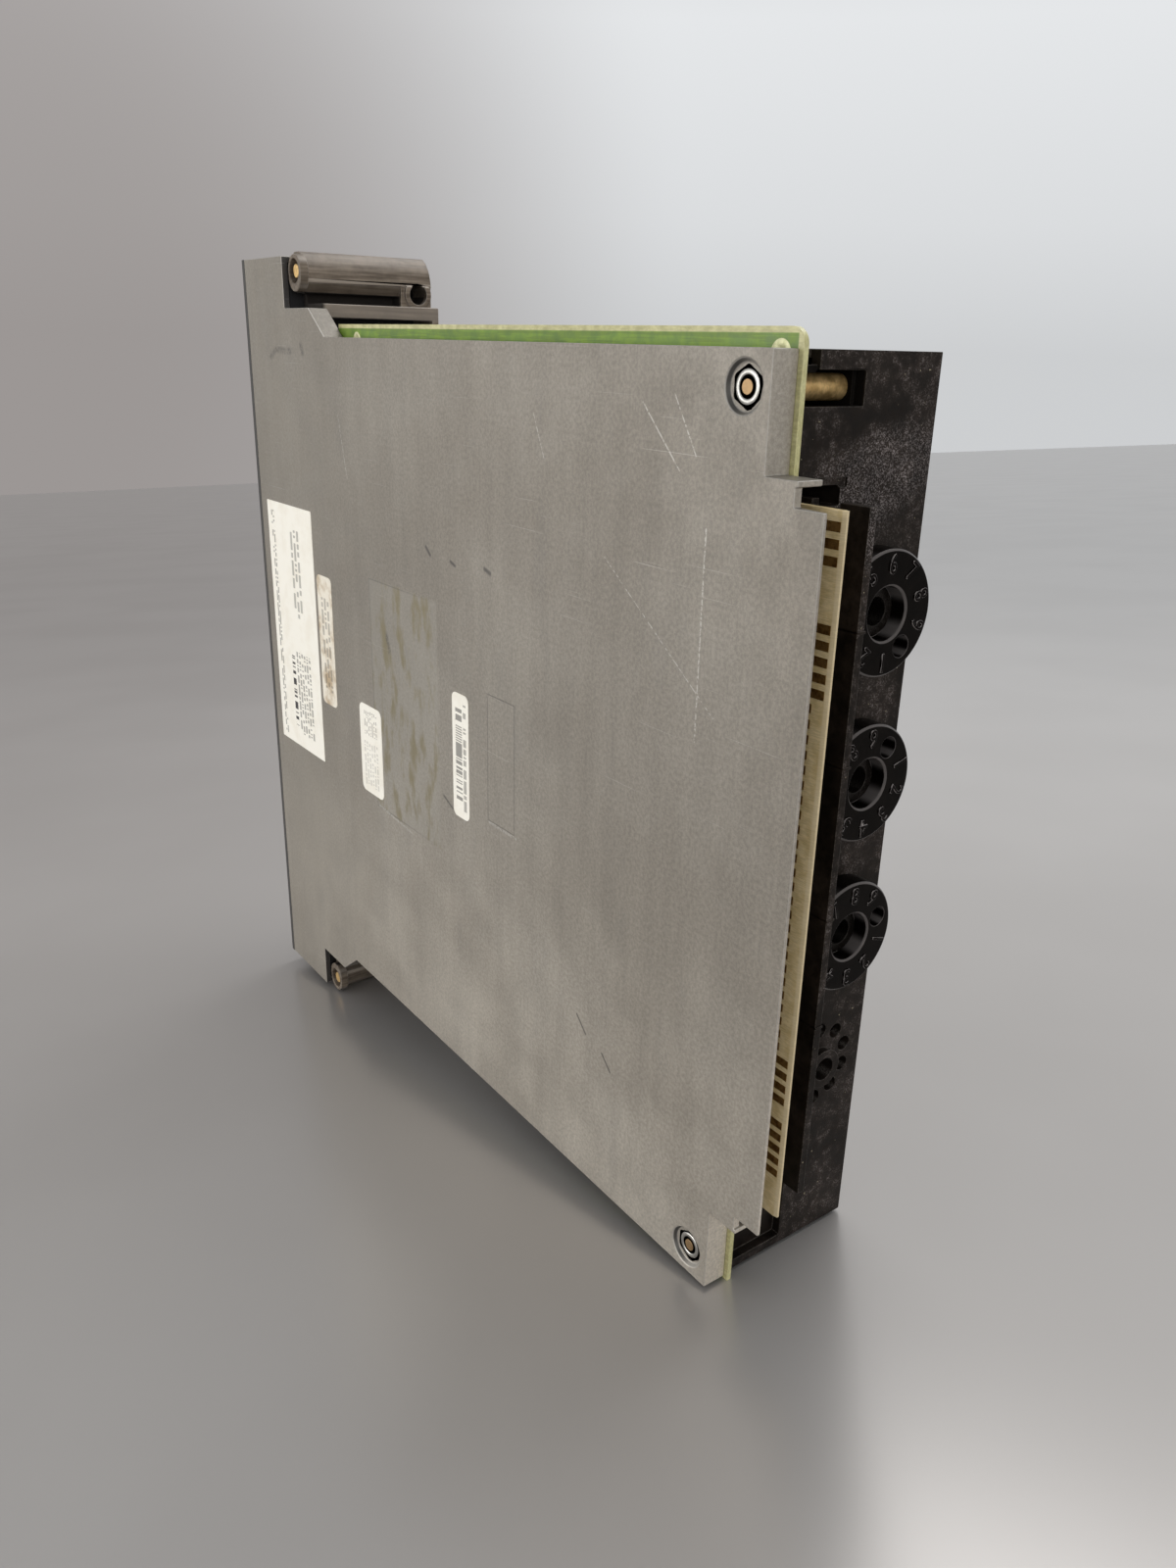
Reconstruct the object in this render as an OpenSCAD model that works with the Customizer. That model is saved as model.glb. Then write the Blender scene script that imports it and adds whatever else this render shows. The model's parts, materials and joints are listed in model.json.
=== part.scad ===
// Plug-in controller module: a flat card cased between a die-cast side cover and a moulded back.
// Datum used inside the modules: x = 0 on the outer face of the side cover and negative
// towards the far side, y = 0 on the cover's rear wall and negative towards the front panel,
// z = 0 on the cover's lower edge. in_frame() moves that datum to the middle of the footprint.

/* [Case] */
// Width of the module across its two sides
module_w = 60; // [60:1:70]
// Height of the cased part between the card guides
case_h = 265.2; // [262:0.2:268]
// Distance from the rear wall to the front of the cover's flange
flange_front = 314.5; // [310:0.5:320]
// Length of the front flange, front to back
flange_len = 39.5; // [38:0.5:42]
// How far the front flange stands above and below the case
flange_rise = 29.2; // [28:0.2:30]
// Depth of the side cover's rim
rim_d = 8.1; // [7.5:0.1:9]
// Thickness of the side cover's plate
skin_t = 2.5; // [2:0.1:3]

/* [Circuit card] */
// Thickness of the circuit card
pcb_t = 1.6; // [1.4:0.1:1.8]
// Number of contact positions on the edge connector
contact_count = 46; // [40:1:46]
// Spacing of the contacts
contact_pitch = 3.96; // [3.8:0.01:3.96]
// Width of one contact finger
contact_w = 2.3; // [1.8:0.1:2.6]

/* [Code discs] */
// Radius of a code disc
disc_r = 16.7; // [15:0.1:16.9]
// Spacing of the code discs
disc_pitch = 46.5; // [44:0.5:47]
// Height of the uppermost disc above the case's lower edge
disc_top_z = 202; // [200:0.5:204]
// Number of code positions round a disc
code_steps = 10; // [8:1:12]

/* [Front panel] */
// Height of the lower serial connector's centre
lower_port_z = 92; // [80:1:100]
// Height of the upper serial connector's centre
upper_port_z = 166; // [158:1:172]
// Number of status lamps
lamp_count = 4; // [2:1:5]

/* [Hidden] */
$fn = 64;
eps = 0.5;                     // how far a cutter runs past the face that it cuts

// overall
label_t = 0.15;
front_proud = 6;               // how far the connectors stand in front of the flange
block_rise = 31;               // how far the fixing blocks stand above and below the case
part_gap = 0.3;                // gap between pieces that don't fit into each other
tab_y = 19.5;                  // rear edge of the cover's tab beside the card's tongue
tab_edge_t = 1.1;              // thickness that the tab tapers down to
mid_z = case_h / 2;

// side cover
rim_t = 2;
slope_y = 239;                 // where the cover's edge starts to climb towards the flange
slope_run = 13.5;
slope_rise = 10.3;
slope_k = (norm([slope_run, slope_rise]) - slope_run) / slope_rise;
notch_y = flange_front - flange_len;
tab_z = [33.4, 231.5];         // lower and upper end of the full-depth tab
neck_y = 10;                   // rear edge of the neck that carries the tab and fins
fin_z = [27.7, 237.5];         // lower and upper fin beside the tab
fin_y = 10.8;
fin_t = 1.5;

// fastening through the rear corners
stud_y = -8.95;
stud_z = [8.55, case_h - 8.55];
stud_r = 2.5;
tip_r = 1.8;
pillar_r = 3.2;
recess_r = [6.4, 5.6];         // mouth and floor of the round recess that the nut sits in
recess_floor = -1.4;
seat_floor = -4.2;             // floor of the hexagonal seat sunk below the recess
seat_gap = 0.2;
nut_t = 3;
nut_af = 8;
pillar_end = -31.5;
web_t = 3;
m3_r = 1.5;

// circuit card
pcb_x = -rim_d - pcb_t;
pcb_z = [-1, case_h + 4.7];
pcb_y = 1.4;
tongue_y = 18.5;
tongue_z = [35, 231.4];
contact_top_z = 227.65;
long_end = 17.3;               // where a full-length contact ends
short_end = 13.6;
contact_t = 0.08;
absent = [3, 4, 5, 40];        // contact positions that are left without a finger
short_span = [11, 35];         // first and last position with a short finger

// rear plate
plate_y = -1;
plate_t = 3;
plate_x = -10.2;               // edge next to the card
tray_d = 26;
wall_t = 2;
slot_x = -21.4;                // far side of the slot beside the tongue
rib_t = 2.5;
rib_y = 14;
rib_z = [34, 231];
slot_floor = -16;
head_x = -27.1;                // far side of the slot's wider head
head_z = [229.4, 234.2];
head_y = 4.5;                  // how far the head cuts into the root of the rib
step_x = -29.3;                // far side of the shallow step above the head
step_z = 236.1;
step_d = 0.8;
recess_x = -32;                // far side of the recess below the rib
recess_z = [3, 33];
window_z = [case_h - 12.7, case_h - 4.5];
window_x = -32.4;
notch_x = -16.4;               // far side of the notch in the plate's upper edge
notch_floor = case_h - 3.5;
bridge_t = 1.7;                // bar between that notch and the window
bridge_d = 1;                  // how far the bar is sunk below the plate's face
hub_x = -41.5;
hub_r = 5.75;
hub_top = 2;
hub_bore_r = 3.7;
bead_r = 6.35;
bead_t = 0.7;
index_r = 11.7;
index_hole_r = 2.4;
hub_count = 4;

// code discs
disc_face = 6;
disc_back = plate_y + part_gap;
disc_lip = 1;
disc_fit = 0.05;
disc_well_r = 7.1;
disc_hole_r = 3;
disc_hole_at = 11.4;
disc_rest = [4, 1, 2];         // code position of each disc's hole, clockwise from the top

// fixing blocks and their screws
bar_front = -275;
bar_ends = [-5.3, -module_w];
boss_end = -2;                 // outer end of the boss that the rod ends in
boss_r = 5.7;
boss_y = -267.9;
boss_z = [case_h + 21.9, case_h + 24.1];
foot_y = -264.2;               // rear face of the part round the locating bore
turret_y = -262.9;
turret_r = 6;
turret_top = case_h + 20.2;    // the ring round the bore ends under the bar's lip
shelf_z = [case_h + 7.2, case_h + 12.2];
shelf_y = -258;
gap_top = case_h + 16;         // underside of the bar
gap_end = -46;
screw_x = -53.5;
screw_z = case_h + 17.1;
locator_r = 3.8;
screw_r = 2;
screw_fit = 0.06;
screw_tip = -279;
head_r = 4.3;
clip_r = 3.6;
rod_yz = [-268.2, case_h + 23.8];
rod_well_r = 4.4;

// front body
panel_t = 2.5;
front_y = -flange_front - panel_t;
body_x = -rim_d - part_gap;    // side of the body that the cover's rim meets
port_x = -30;
port_cut = [9, 39];
jack_half = 23.5;              // half of the distance between a connector's jack posts
jack_r = 1.2;
lens_x = [-44, -16];
lens_z = [222, 254];
lamp_board_y = -303;

// far side
sheet_t = 1.6;
daughter_x = -34;
standoff_y = [-240, -45];
standoff_z = [35, 225];
chip_t = 4;

function flip(z) = case_h - z;

module in_frame()
    translate([(module_w - label_t) / 2, (flange_front + front_proud - tab_y) / 2, block_rise])
        children();

module box(lo, hi)
    translate([min(lo.x, hi.x), min(lo.y, hi.y), min(lo.z, hi.z)])
        cube([abs(hi.x - lo.x), abs(hi.y - lo.y), abs(hi.z - lo.z)]);

// A yz outline given thickness along x, from x towards +x.
module slab_x(x, t)
    translate([x, 0, 0]) rotate([90, 0, 90]) linear_extrude(t) children();

module rod_x(r, x0, x1, y, z)
    translate([min(x0, x1), y, z]) rotate([0, 90, 0]) cylinder(r = r, h = abs(x1 - x0));

module rod_y(r, y0, y1, x, z)
    translate([x, min(y0, y1), z]) rotate([-90, 0, 0]) cylinder(r = r, h = abs(y1 - y0));

module both_ends() {
    children();
    translate([0, 0, case_h]) mirror([0, 0, 1]) children();
}

module lower_end() translate([0, 0, case_h]) mirror([0, 0, 1]) children();

module round_label(y, z, r)
    slab_x(0, label_t)
        union() {
            translate([y[0] + r, z[0]]) square([y[1] - y[0] - 2 * r, z[1] - z[0]]);
            translate([y[0], z[0] + r]) square([y[1] - y[0], z[1] - z[0] - 2 * r]);
            for (cy = [y[0] + r, y[1] - r], cz = [z[0] + r, z[1] - r])
                translate([cy, cz]) circle(r);
        }

// ---- side cover ----

function upper_edge(i) = [
    [-i, case_h - i],
    [-slope_y - slope_k * i, case_h - i],
    [-slope_y - slope_run - slope_k * i, case_h + slope_rise - i],
    [-notch_y - i, case_h + slope_rise - i],
    [-notch_y - i, case_h + flange_rise - i],
    [-flange_front + i, case_h + flange_rise - i]];
function cover_outline(i) = let (top = upper_edge(i))
    concat(top, [for (k = [len(top) - 1 : -1 : 0]) [top[k][0], flip(top[k][1])]]);

// The neck is as thick as the cover's plate, and the tab behind it tapers to its rear edge.
module cover_tab() {
    translate([0, 0, tab_z[0]]) linear_extrude(tab_z[1] - tab_z[0])
        polygon([[0, -eps], [0, tab_y], [-tab_edge_t, tab_y], [-skin_t, neck_y], [-skin_t, -eps]]);
    box([-skin_t, -eps, fin_z[0]], [0, neck_y, fin_z[1]]);
}

module side_cover() in_frame() color("silver")
    difference() {
        union() {
            slab_x(-skin_t, skin_t) polygon(cover_outline(0));
            cover_tab();
            difference() {
                slab_x(-rim_d, rim_d) difference() {
                    polygon(cover_outline(0));
                    polygon(cover_outline(rim_t));
                }
                box([-rim_d - eps, -rim_t - eps, fin_z[0] + fin_t], [eps, eps, fin_z[1] - fin_t]);
            }
            box([-rim_d, -rim_t, fin_z[1] - fin_t], [0, fin_y, fin_z[1]]);
            box([-rim_d, -rim_t, fin_z[0]], [0, fin_y, fin_z[0] + fin_t]);
            for (z = stud_z) rod_x(recess_r[0] + 1.5, -rim_d, -eps, stud_y, z);
        }
        // the flange has no rim along its rear edge, where the moulded body closes it
        both_ends()
            box([-rim_d - eps, -notch_y - rim_t - eps, case_h + slope_rise],
                [-skin_t, -notch_y + eps, case_h + flange_rise - rim_t]);
        for (z = stud_z) {
            translate([recess_floor, stud_y, z]) rotate([0, 90, 0])
                cylinder(r1 = recess_r[1], r2 = recess_r[0], h = -recess_floor);
            hexagon_x(nut_af + 2 * seat_gap, seat_floor, eps, z);
            rod_x(stud_r + 0.1, -rim_d - eps, 0, stud_y, z);
        }
    }

// A hexagonal prism along x on the axis of a stud, with two corners upright.
module hexagon_x(flats, x0, x1, z)
    translate([x0, stud_y, z]) rotate([0, 90, 0]) cylinder(r = flats / 2 / cos(30), h = x1 - x0, $fn = 6);

module cover_nuts() in_frame() color("gainsboro")
    for (z = stud_z) difference() {
        hexagon_x(nut_af, seat_floor, seat_floor + nut_t, z);
        rod_x(stud_r, seat_floor - eps, 0, stud_y, z);
    }

// A stud through the cover and card, and a thicker pillar behind that the card is clamped against.
module rear_pillars() in_frame() color("goldenrod")
    for (z = stud_z) difference() {
        union() {
            rod_x(stud_r, pcb_x - eps, seat_floor + nut_t - 0.6, stud_y, z);
            rod_x(tip_r, pcb_x, seat_floor + nut_t, stud_y, z);
            rod_x(pillar_r, pillar_end, pcb_x, stud_y, z);
        }
        rod_x(m3_r, pillar_end - eps, pillar_end + 8, stud_y, z);
    }

module pillar_screws() in_frame() color("lightgray")
    for (z = stud_z) difference() {
        union() {
            rod_x(m3_r, pillar_end - web_t - 1, pillar_end + 7, stud_y, z);
            rod_x(2.8, pillar_end - web_t - 2, pillar_end - web_t, stud_y, z);
        }
        box([pillar_end - web_t - 3, stud_y - 3, z - 0.4], [pillar_end - web_t - 1.1, stud_y + 3, z + 0.4]);
    }

// ---- circuit card ----

module main_board() in_frame() color("forestgreen")
    difference() {
        union() {
            box([pcb_x, -slope_y - 4, pcb_z[0]], [pcb_x + pcb_t, pcb_y - 4, pcb_z[1]]);
            box([pcb_x, -slope_y - 4, pcb_z[0]], [pcb_x + pcb_t, pcb_y, pcb_z[1] - 4]);
            rod_x(4, pcb_x, pcb_x + pcb_t, pcb_y - 4, pcb_z[1] - 4);
            box([pcb_x, 8 - flange_front, 2], [pcb_x + pcb_t, -slope_y, case_h - 2]);
            translate([0, 0, tongue_z[0]]) linear_extrude(tongue_z[1] - tongue_z[0])
                polygon([[pcb_x, 0], [pcb_x + pcb_t, 0], [pcb_x + pcb_t, long_end],
                    [pcb_x + pcb_t - 0.5, tongue_y], [pcb_x + 0.5, tongue_y], [pcb_x, long_end]]);
        }
        for (z = stud_z) rod_x(stud_r + 0.1, pcb_x - eps, pcb_x + pcb_t + eps, stud_y, z);
    }

function contact_end(i) = i >= short_span[0] && i <= short_span[1] ? short_end : long_end;

module edge_contacts() in_frame() color("darkgoldenrod")
    for (i = [0 : contact_count - 1])
        if (len(search(i, absent)) == 0)
            for (x = [pcb_x - contact_t, pcb_x + pcb_t]) {
                z = contact_top_z - i * contact_pitch;
                box([x, 3, z - contact_w / 2], [x + contact_t, contact_end(i), z + contact_w / 2]);
            }

// ---- moulded back ----

function hub_z(k) = disc_top_z - k * disc_pitch;
function around(r, k, z) = [hub_x - r * sin(k * 360 / code_steps), z + r * cos(k * 360 / code_steps)];

module hub(z) {
    rod_y(hub_r, plate_y - eps, hub_top, hub_x, z);
    rod_y(bead_r, hub_top - bead_t, hub_top, hub_x, z);
}

module hub_holes(z) {
    rod_y(hub_bore_r, plate_y - plate_t - eps, hub_top + eps, hub_x, z);
    for (k = [0 : code_steps - 1]) {
        p = around(index_r, k, z);
        rod_y(index_hole_r, plate_y - plate_t - eps, plate_y + eps, p.x, p.y);
    }
}

module rear_tray() {
    far = -module_w;
    inner = plate_y - plate_t;
    box([far, inner, 0], [plate_x, plate_y, case_h]);
    box([far, -tray_d, case_h - wall_t], [plate_x, plate_y, case_h]);
    box([far, -tray_d, 0], [plate_x, plate_y, wall_t]);
    box([far, -tray_d, 0], [far + wall_t, plate_y, case_h]);
    // webs that the pillars end against
    box([pillar_end - web_t, -tray_d, window_z[0] - 8], [pillar_end, plate_y, case_h]);
    box([pillar_end - web_t, -tray_d, 0], [pillar_end, plate_y, recess_z[1] + wall_t]);
    // floor behind the recess under the rib
    box([pillar_end, inner - 1.3, 0], [plate_x, inner, recess_z[1] + wall_t]);
    // channel beside the tongue
    box([slot_x - rib_t, slot_floor, rib_z[0]], [slot_x, rib_y, rib_z[1]]);
    box([head_x - rib_t, slot_floor - wall_t, recess_z[1]], [plate_x, slot_floor, head_z[1] + rib_t]);
    box([head_x - rib_t, slot_floor, head_z[0] - rib_t], [head_x, plate_y, head_z[1] + rib_t]);
    box([head_x - rib_t, slot_floor, head_z[0] - rib_t], [slot_x, plate_y, head_z[0]]);
    box([head_x - rib_t, slot_floor, head_z[1]], [plate_x, plate_y, head_z[1] + rib_t]);
    box([slot_x - rib_t, slot_floor, recess_z[1]], [plate_x, plate_y, recess_z[1] + wall_t]);
}

module rear_plate() in_frame() color("#2b2826")
    difference() {
        union() {
            rear_tray();
            for (k = [0 : hub_count - 1]) hub(hub_z(k));
        }
        for (k = [0 : hub_count - 1]) hub_holes(hub_z(k));
        // slot for the rack connector, with its wider head and the shallow step above that
        box([slot_x, plate_y - plate_t - eps, recess_z[1] + wall_t],
            [plate_x + eps, plate_y + eps, head_z[0]]);
        box([head_x, plate_y - plate_t - eps, head_z[0]], [plate_x + eps, head_y, head_z[1]]);
        box([step_x, plate_y - step_d, head_z[1] - eps], [plate_x + eps, plate_y + eps, step_z]);
        // recess under the rib
        box([recess_x, plate_y - plate_t, recess_z[0]], [plate_x + eps, plate_y + eps, recess_z[1]]);
        // window, the notch above it and the sunk bar between them
        box([window_x, plate_y - plate_t - eps, window_z[0]], [notch_x, plate_y + eps, window_z[1]]);
        box([notch_x - eps, plate_y - plate_t - eps, window_z[0]],
            [plate_x + eps, plate_y + eps, notch_floor - bridge_t]);
        box([notch_x, plate_y - plate_t - eps, notch_floor], [plate_x + eps, plate_y + eps, case_h + eps]);
        box([notch_x, plate_y - bridge_d, window_z[0]], [plate_x + eps, plate_y + eps, case_h]);
        for (z = stud_z)
            rod_x(m3_r + 0.1, pillar_end - web_t - eps, pillar_end + eps, stud_y, z);
    }

module code_disc(k) {
    hole = around(disc_hole_at, disc_rest[k], hub_z(k));
    difference() {
        translate([hub_x, 0, hub_z(k)]) rotate([-90, 0, 0]) rotate_extrude($fn = 96)
            polygon([[hub_r + disc_fit, disc_back], [disc_r, disc_back], [disc_r, disc_face - 0.6],
                [disc_r - 0.6, disc_face], [disc_well_r + 0.6, disc_face],
                [disc_well_r, disc_face - 0.6], [disc_well_r, disc_lip], [hub_r + disc_fit, disc_lip]]);
        rod_y(disc_hole_r, disc_back - eps, disc_face + eps, hole.x, hole.y);
    }
}

module code_disc_1() in_frame() color("#1c1a19") code_disc(0);
module code_disc_2() in_frame() color("#1c1a19") code_disc(1);
module code_disc_3() in_frame() color("#1c1a19") code_disc(2);

// ---- fixing blocks at the front corners ----

// Section of the bar: a rounded back that ends in a lip, and an underside that slopes in below it.
module bar_section()
    polygon([[bar_front, gap_top], [-266, gap_top], [-264.7, gap_top + 3.4], [-263.9, gap_top + 4],
        [-263.9, gap_top + 5.2], [-264.5, gap_top + 7.6], [-265.8, gap_top + 10.6],
        [-268, gap_top + 13.4], [-270.5, case_h + block_rise], [bar_front, case_h + block_rise]]);

module boss_section() {
    for (z = boss_z) translate([boss_y, z]) circle(boss_r);
    translate([boss_y - boss_r, boss_z[0]]) square([2 * boss_r, boss_z[1] - boss_z[0]]);
}

module turret()
    difference() {
        rod_y(turret_r, bar_front + 1, turret_y, screw_x, screw_z);
        box([screw_x - turret_r - eps, bar_front, turret_top],
            [screw_x + turret_r + eps, turret_y + eps, turret_top + turret_r]);
    }

module fixing_block()
    difference() {
        union() {
            slab_x(bar_ends[1], bar_ends[0] - bar_ends[1]) bar_section();
            slab_x(bar_ends[0] - eps, boss_end - bar_ends[0] + eps) boss_section();
            box([bar_ends[1], bar_front, shelf_z[0]], [gap_end, foot_y, gap_top + 4]);
            box([bar_ends[1], bar_front, shelf_z[0]], [body_x, shelf_y, shelf_z[1]]);
            box([bar_ends[1], bar_front, shelf_z[0]], [body_x, bar_front + 3, gap_top + 1]);
            box([bar_ends[1], bar_front, case_h], [bar_ends[1] + 3, shelf_y, shelf_z[1]]);
            turret();
        }
        rod_y(locator_r, bar_front - eps, turret_y + 2, screw_x, screw_z);
        rod_x(stud_r + 0.1, bar_ends[1] - eps, 0, rod_yz.x, rod_yz.y);
        rod_x(rod_well_r, bar_ends[0], 0, rod_yz.x, rod_yz.y);
    }

module upper_fixing_block() in_frame() color("#4a4540") fixing_block();
module lower_fixing_block() in_frame() color("#4a4540") lower_end() fixing_block();

module front_rods() in_frame() color("goldenrod")
    both_ends() rod_x(stud_r, bar_ends[1] + 1, boss_end - 1, rod_yz.x, rod_yz.y);

module fixing_screw()
    difference() {
        union() {
            rod_y(head_r, -flange_front - front_proud, front_y - 0.2, screw_x, screw_z);
            rod_y(screw_r, front_y - 1, screw_tip, screw_x, screw_z);
        }
        box([screw_x - head_r - 1, -flange_front - front_proud - eps, screw_z - 0.6],
            [screw_x + head_r + 1, -flange_front - front_proud + 1.4, screw_z + 0.6]);
        for (a = [0 : 20 : 340])
            rod_y(0.35, -flange_front - front_proud - eps, front_y,
                screw_x + head_r * cos(a), screw_z + head_r * sin(a));
    }

module screw_clip()
    difference() {
        rod_y(clip_r, -flange_front + 0.3, -flange_front + 1.1, screw_x, screw_z);
        rod_y(screw_r, -flange_front - eps, -flange_front + 2, screw_x, screw_z);
    }

module upper_fixing_screw() in_frame() color("silver") fixing_screw();
module lower_fixing_screw() in_frame() color("silver") lower_end() fixing_screw();
module upper_screw_clip() in_frame() color("dimgray") screw_clip();
module lower_screw_clip() in_frame() color("dimgray") lower_end() screw_clip();

// ---- front body, lamps and serial connectors ----

module port_cutout(z) {
    box([port_x - port_cut.x / 2, front_y - eps, z - port_cut.y / 2],
        [port_x + port_cut.x / 2, -flange_front + eps, z + port_cut.y / 2]);
    for (s = [-1, 1])
        rod_y(1.6, front_y - eps, -flange_front + eps, port_x, z + s * jack_half);
}

module front_body() in_frame() color("#35332f")
    difference() {
        union() {
            box([-module_w, front_y, -flange_rise], [0, -flange_front, case_h + flange_rise]);
            box([-module_w, -flange_front, -flange_rise],
                [-module_w + panel_t, -notch_y, case_h + flange_rise]);
            both_ends() {
                box([-module_w, -flange_front, case_h + flange_rise - panel_t],
                    [body_x, -notch_y, case_h + flange_rise]);
                box([-module_w, -notch_y - panel_t, case_h], [body_x, -notch_y, case_h + flange_rise]);
                box([body_x - eps, -notch_y - panel_t, case_h + slope_rise + part_gap],
                    [-skin_t - part_gap, -notch_y - part_gap, case_h + flange_rise - rim_t - part_gap]);
                box([-module_w, -flange_front, case_h], [body_x, -notch_y, case_h + wall_t]);
            }
        }
        for (z = [lower_port_z, upper_port_z]) port_cutout(z);
        box([lens_x[0], front_y - eps, lens_z[0]], [lens_x[1], -flange_front + eps, lens_z[1]]);
        both_ends() {
            rod_y(screw_r + screw_fit, front_y - eps, -flange_front + eps, screw_x, screw_z);
            rod_y(locator_r, -notch_y - panel_t - eps, -notch_y + eps, screw_x, screw_z);
        }
    }

module status_lens() in_frame() color("#402020", 0.5) {
    box([lens_x[0] + 0.1, front_y - 0.4, lens_z[0] + 0.1], [lens_x[1] - 0.1, -flange_front, lens_z[1] - 0.1]);
    box([lens_x[0] - 1.5, -flange_front, lens_z[0] - 1.5],
        [lens_x[1] + 1.5, -flange_front + 1, lens_z[1] + 1.5]);
}

module lamp_board() in_frame() color("forestgreen")
    box([pcb_x, lamp_board_y, lens_z[0] - 4], [lens_x[0] - 4, lamp_board_y + pcb_t, lens_z[1] + 3]);

module status_lamps() in_frame() color("crimson")
    for (i = [0 : lamp_count - 1]) {
        z = lens_z[0] + (i + 0.5) * (lens_z[1] - lens_z[0]) / lamp_count;
        rod_y(1.5, lamp_board_y - 6, lamp_board_y, port_x, z);
        rod_y(1.9, lamp_board_y - 1, lamp_board_y, port_x, z);
    }

// The D-shaped outline of a connector, wider on one side, centred on [port_x, z].
module d_outline(z, grow)
    translate([port_x, z]) polygon([
        [-3.9 - grow, -19.1 - grow], [3.9 + grow, -17.7 - grow],
        [3.9 + grow, 17.7 + grow], [-3.9 - grow, 19.1 + grow]]);

module slab_y(y, t) translate([0, y + t, 0]) rotate([90, 0, 0]) linear_extrude(t) children();

module connector_shells() in_frame() color("lightgray")
    for (z = [lower_port_z, upper_port_z]) difference() {
        union() {
            box([port_x - 6.2, front_y - 0.8, z - 26.5], [port_x + 6.2, front_y, z + 26.5]);
            slab_y(-flange_front - front_proud, front_proud - panel_t) d_outline(z, 0.25);
        }
        slab_y(-flange_front - front_proud - eps, front_proud + eps) d_outline(z, -0.2);
        for (s = [-1, 1]) rod_y(1.6, front_y - 2, front_y + eps, port_x, z + s * jack_half);
    }

module connector_inserts() in_frame() color("#202020")
    for (z = [lower_port_z, upper_port_z]) {
        slab_y(-flange_front - front_proud + 0.3, front_proud + 6) d_outline(z, -0.2);
        for (i = [0 : 12])
            box([port_x - 1.6, -flange_front + 6, z + (i - 6) * 2.77 - 0.3],
                [port_x - 1, -flange_front + 12, z + (i - 6) * 2.77 + 0.3]);
    }

module jack_posts() in_frame() color("lightgray")
    for (z = [lower_port_z, upper_port_z], s = [-1, 1]) difference() {
        union() {
            translate([port_x, front_y - 0.8, z + s * jack_half]) rotate([90, 0, 0])
                cylinder(r = 4.76 / 2 / cos(30), h = front_proud - panel_t - 0.8 - 0.4, $fn = 6);
            rod_y(1.5, front_y - 1, -flange_front + 3, port_x, z + s * jack_half);
        }
        rod_y(jack_r, -flange_front - front_proud - eps, -flange_front, port_x, z + s * jack_half);
    }

// ---- far side and inner electronics ----

module far_cover() in_frame() color("gray")
    difference() {
        union() {
            box([-module_w, -notch_y, 0], [sheet_t - module_w, -tray_d, case_h]);
            both_ends()
                box([-module_w, -notch_y, case_h - sheet_t], [plate_x, -tray_d, case_h]);
        }
        both_ends() for (i = [0 : 15])
            box([-module_w + 12, -258 + i * 14, case_h - sheet_t - eps],
                [-20, -254.5 + i * 14, case_h + eps]);
        for (y = standoff_y, z = standoff_z)
            translate([-module_w, y, z]) rotate([0, 90, 0])
                cylinder(r1 = m3_r + sheet_t, r2 = m3_r, h = sheet_t);
    }

module far_cover_screws() in_frame() color("lightgray")
    for (y = standoff_y, z = standoff_z) difference() {
        union() {
            translate([-module_w, y, z]) rotate([0, 90, 0])
                cylinder(r1 = m3_r + sheet_t, r2 = m3_r, h = sheet_t);
            rod_x(m3_r, sheet_t - module_w - 0.2, sheet_t - module_w + 6, y, z);
        }
        box([-module_w - eps, y - 4, z - 0.4], [-module_w + 0.8, y + 4, z + 0.4]);
    }

module daughter_board() in_frame() color("forestgreen")
    difference() {
        box([daughter_x - pcb_t, -252, 12], [daughter_x, -30, case_h - 14]);
        for (y = standoff_y, z = standoff_z)
            rod_x(m3_r + 0.1, daughter_x - pcb_t - eps, daughter_x + eps, y, z);
    }

module inner_standoffs() in_frame() color("goldenrod")
    for (y = standoff_y, z = standoff_z)
        translate([daughter_x, y, z]) rotate([0, 90, 0])
            cylinder(r = 5.5 / 2 / cos(30), h = pcb_x - daughter_x, $fn = 6);

module outer_standoffs() in_frame() color("goldenrod")
    for (y = standoff_y, z = standoff_z) difference() {
        union() {
            translate([sheet_t - module_w, y, z]) rotate([0, 90, 0])
                cylinder(r = 5.5 / 2 / cos(30), h = daughter_x - pcb_t - sheet_t + module_w, $fn = 6);
            rod_x(m3_r, daughter_x - pcb_t - eps, daughter_x, y, z);
        }
        rod_x(m3_r, sheet_t - module_w - eps, sheet_t - module_w + 8, y, z);
    }

module board_header() in_frame() color("#202020")
    box([daughter_x, -150, 20], [pcb_x, -144, 84]);

module chip(x, y, z, w, h) box([x - chip_t, y, z], [x, y + w, z + h]);

module processor_chips() in_frame() color("#242424") {
    for (i = [0 : 2]) chip(pcb_x, -215 + i * 62, 150, 14, 52);
    for (i = [0 : 1]) chip(daughter_x - pcb_t, -200 + i * 70, 140, 14, 52);
}

module logic_chips() in_frame() color("#242424")
    for (i = [0 : 8], j = [0 : 3])
        if (!(j == 3 && i > 5))
            chip(pcb_x, -225 + i * 22, [105, 72, 40, 210][j], 7, 20);

module capacitors() in_frame() color("steelblue")
    for (z = [222, 238]) {
        rod_x(6, pcb_x - 18, pcb_x, -88, z);
        rod_x(5, pcb_x - 14, pcb_x, -70, z);
    }

module crystal_can() in_frame() color("silver")
    box([pcb_x - 4, -172, 222], [pcb_x, -161, 226.5]);

// ---- labels ----

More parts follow.
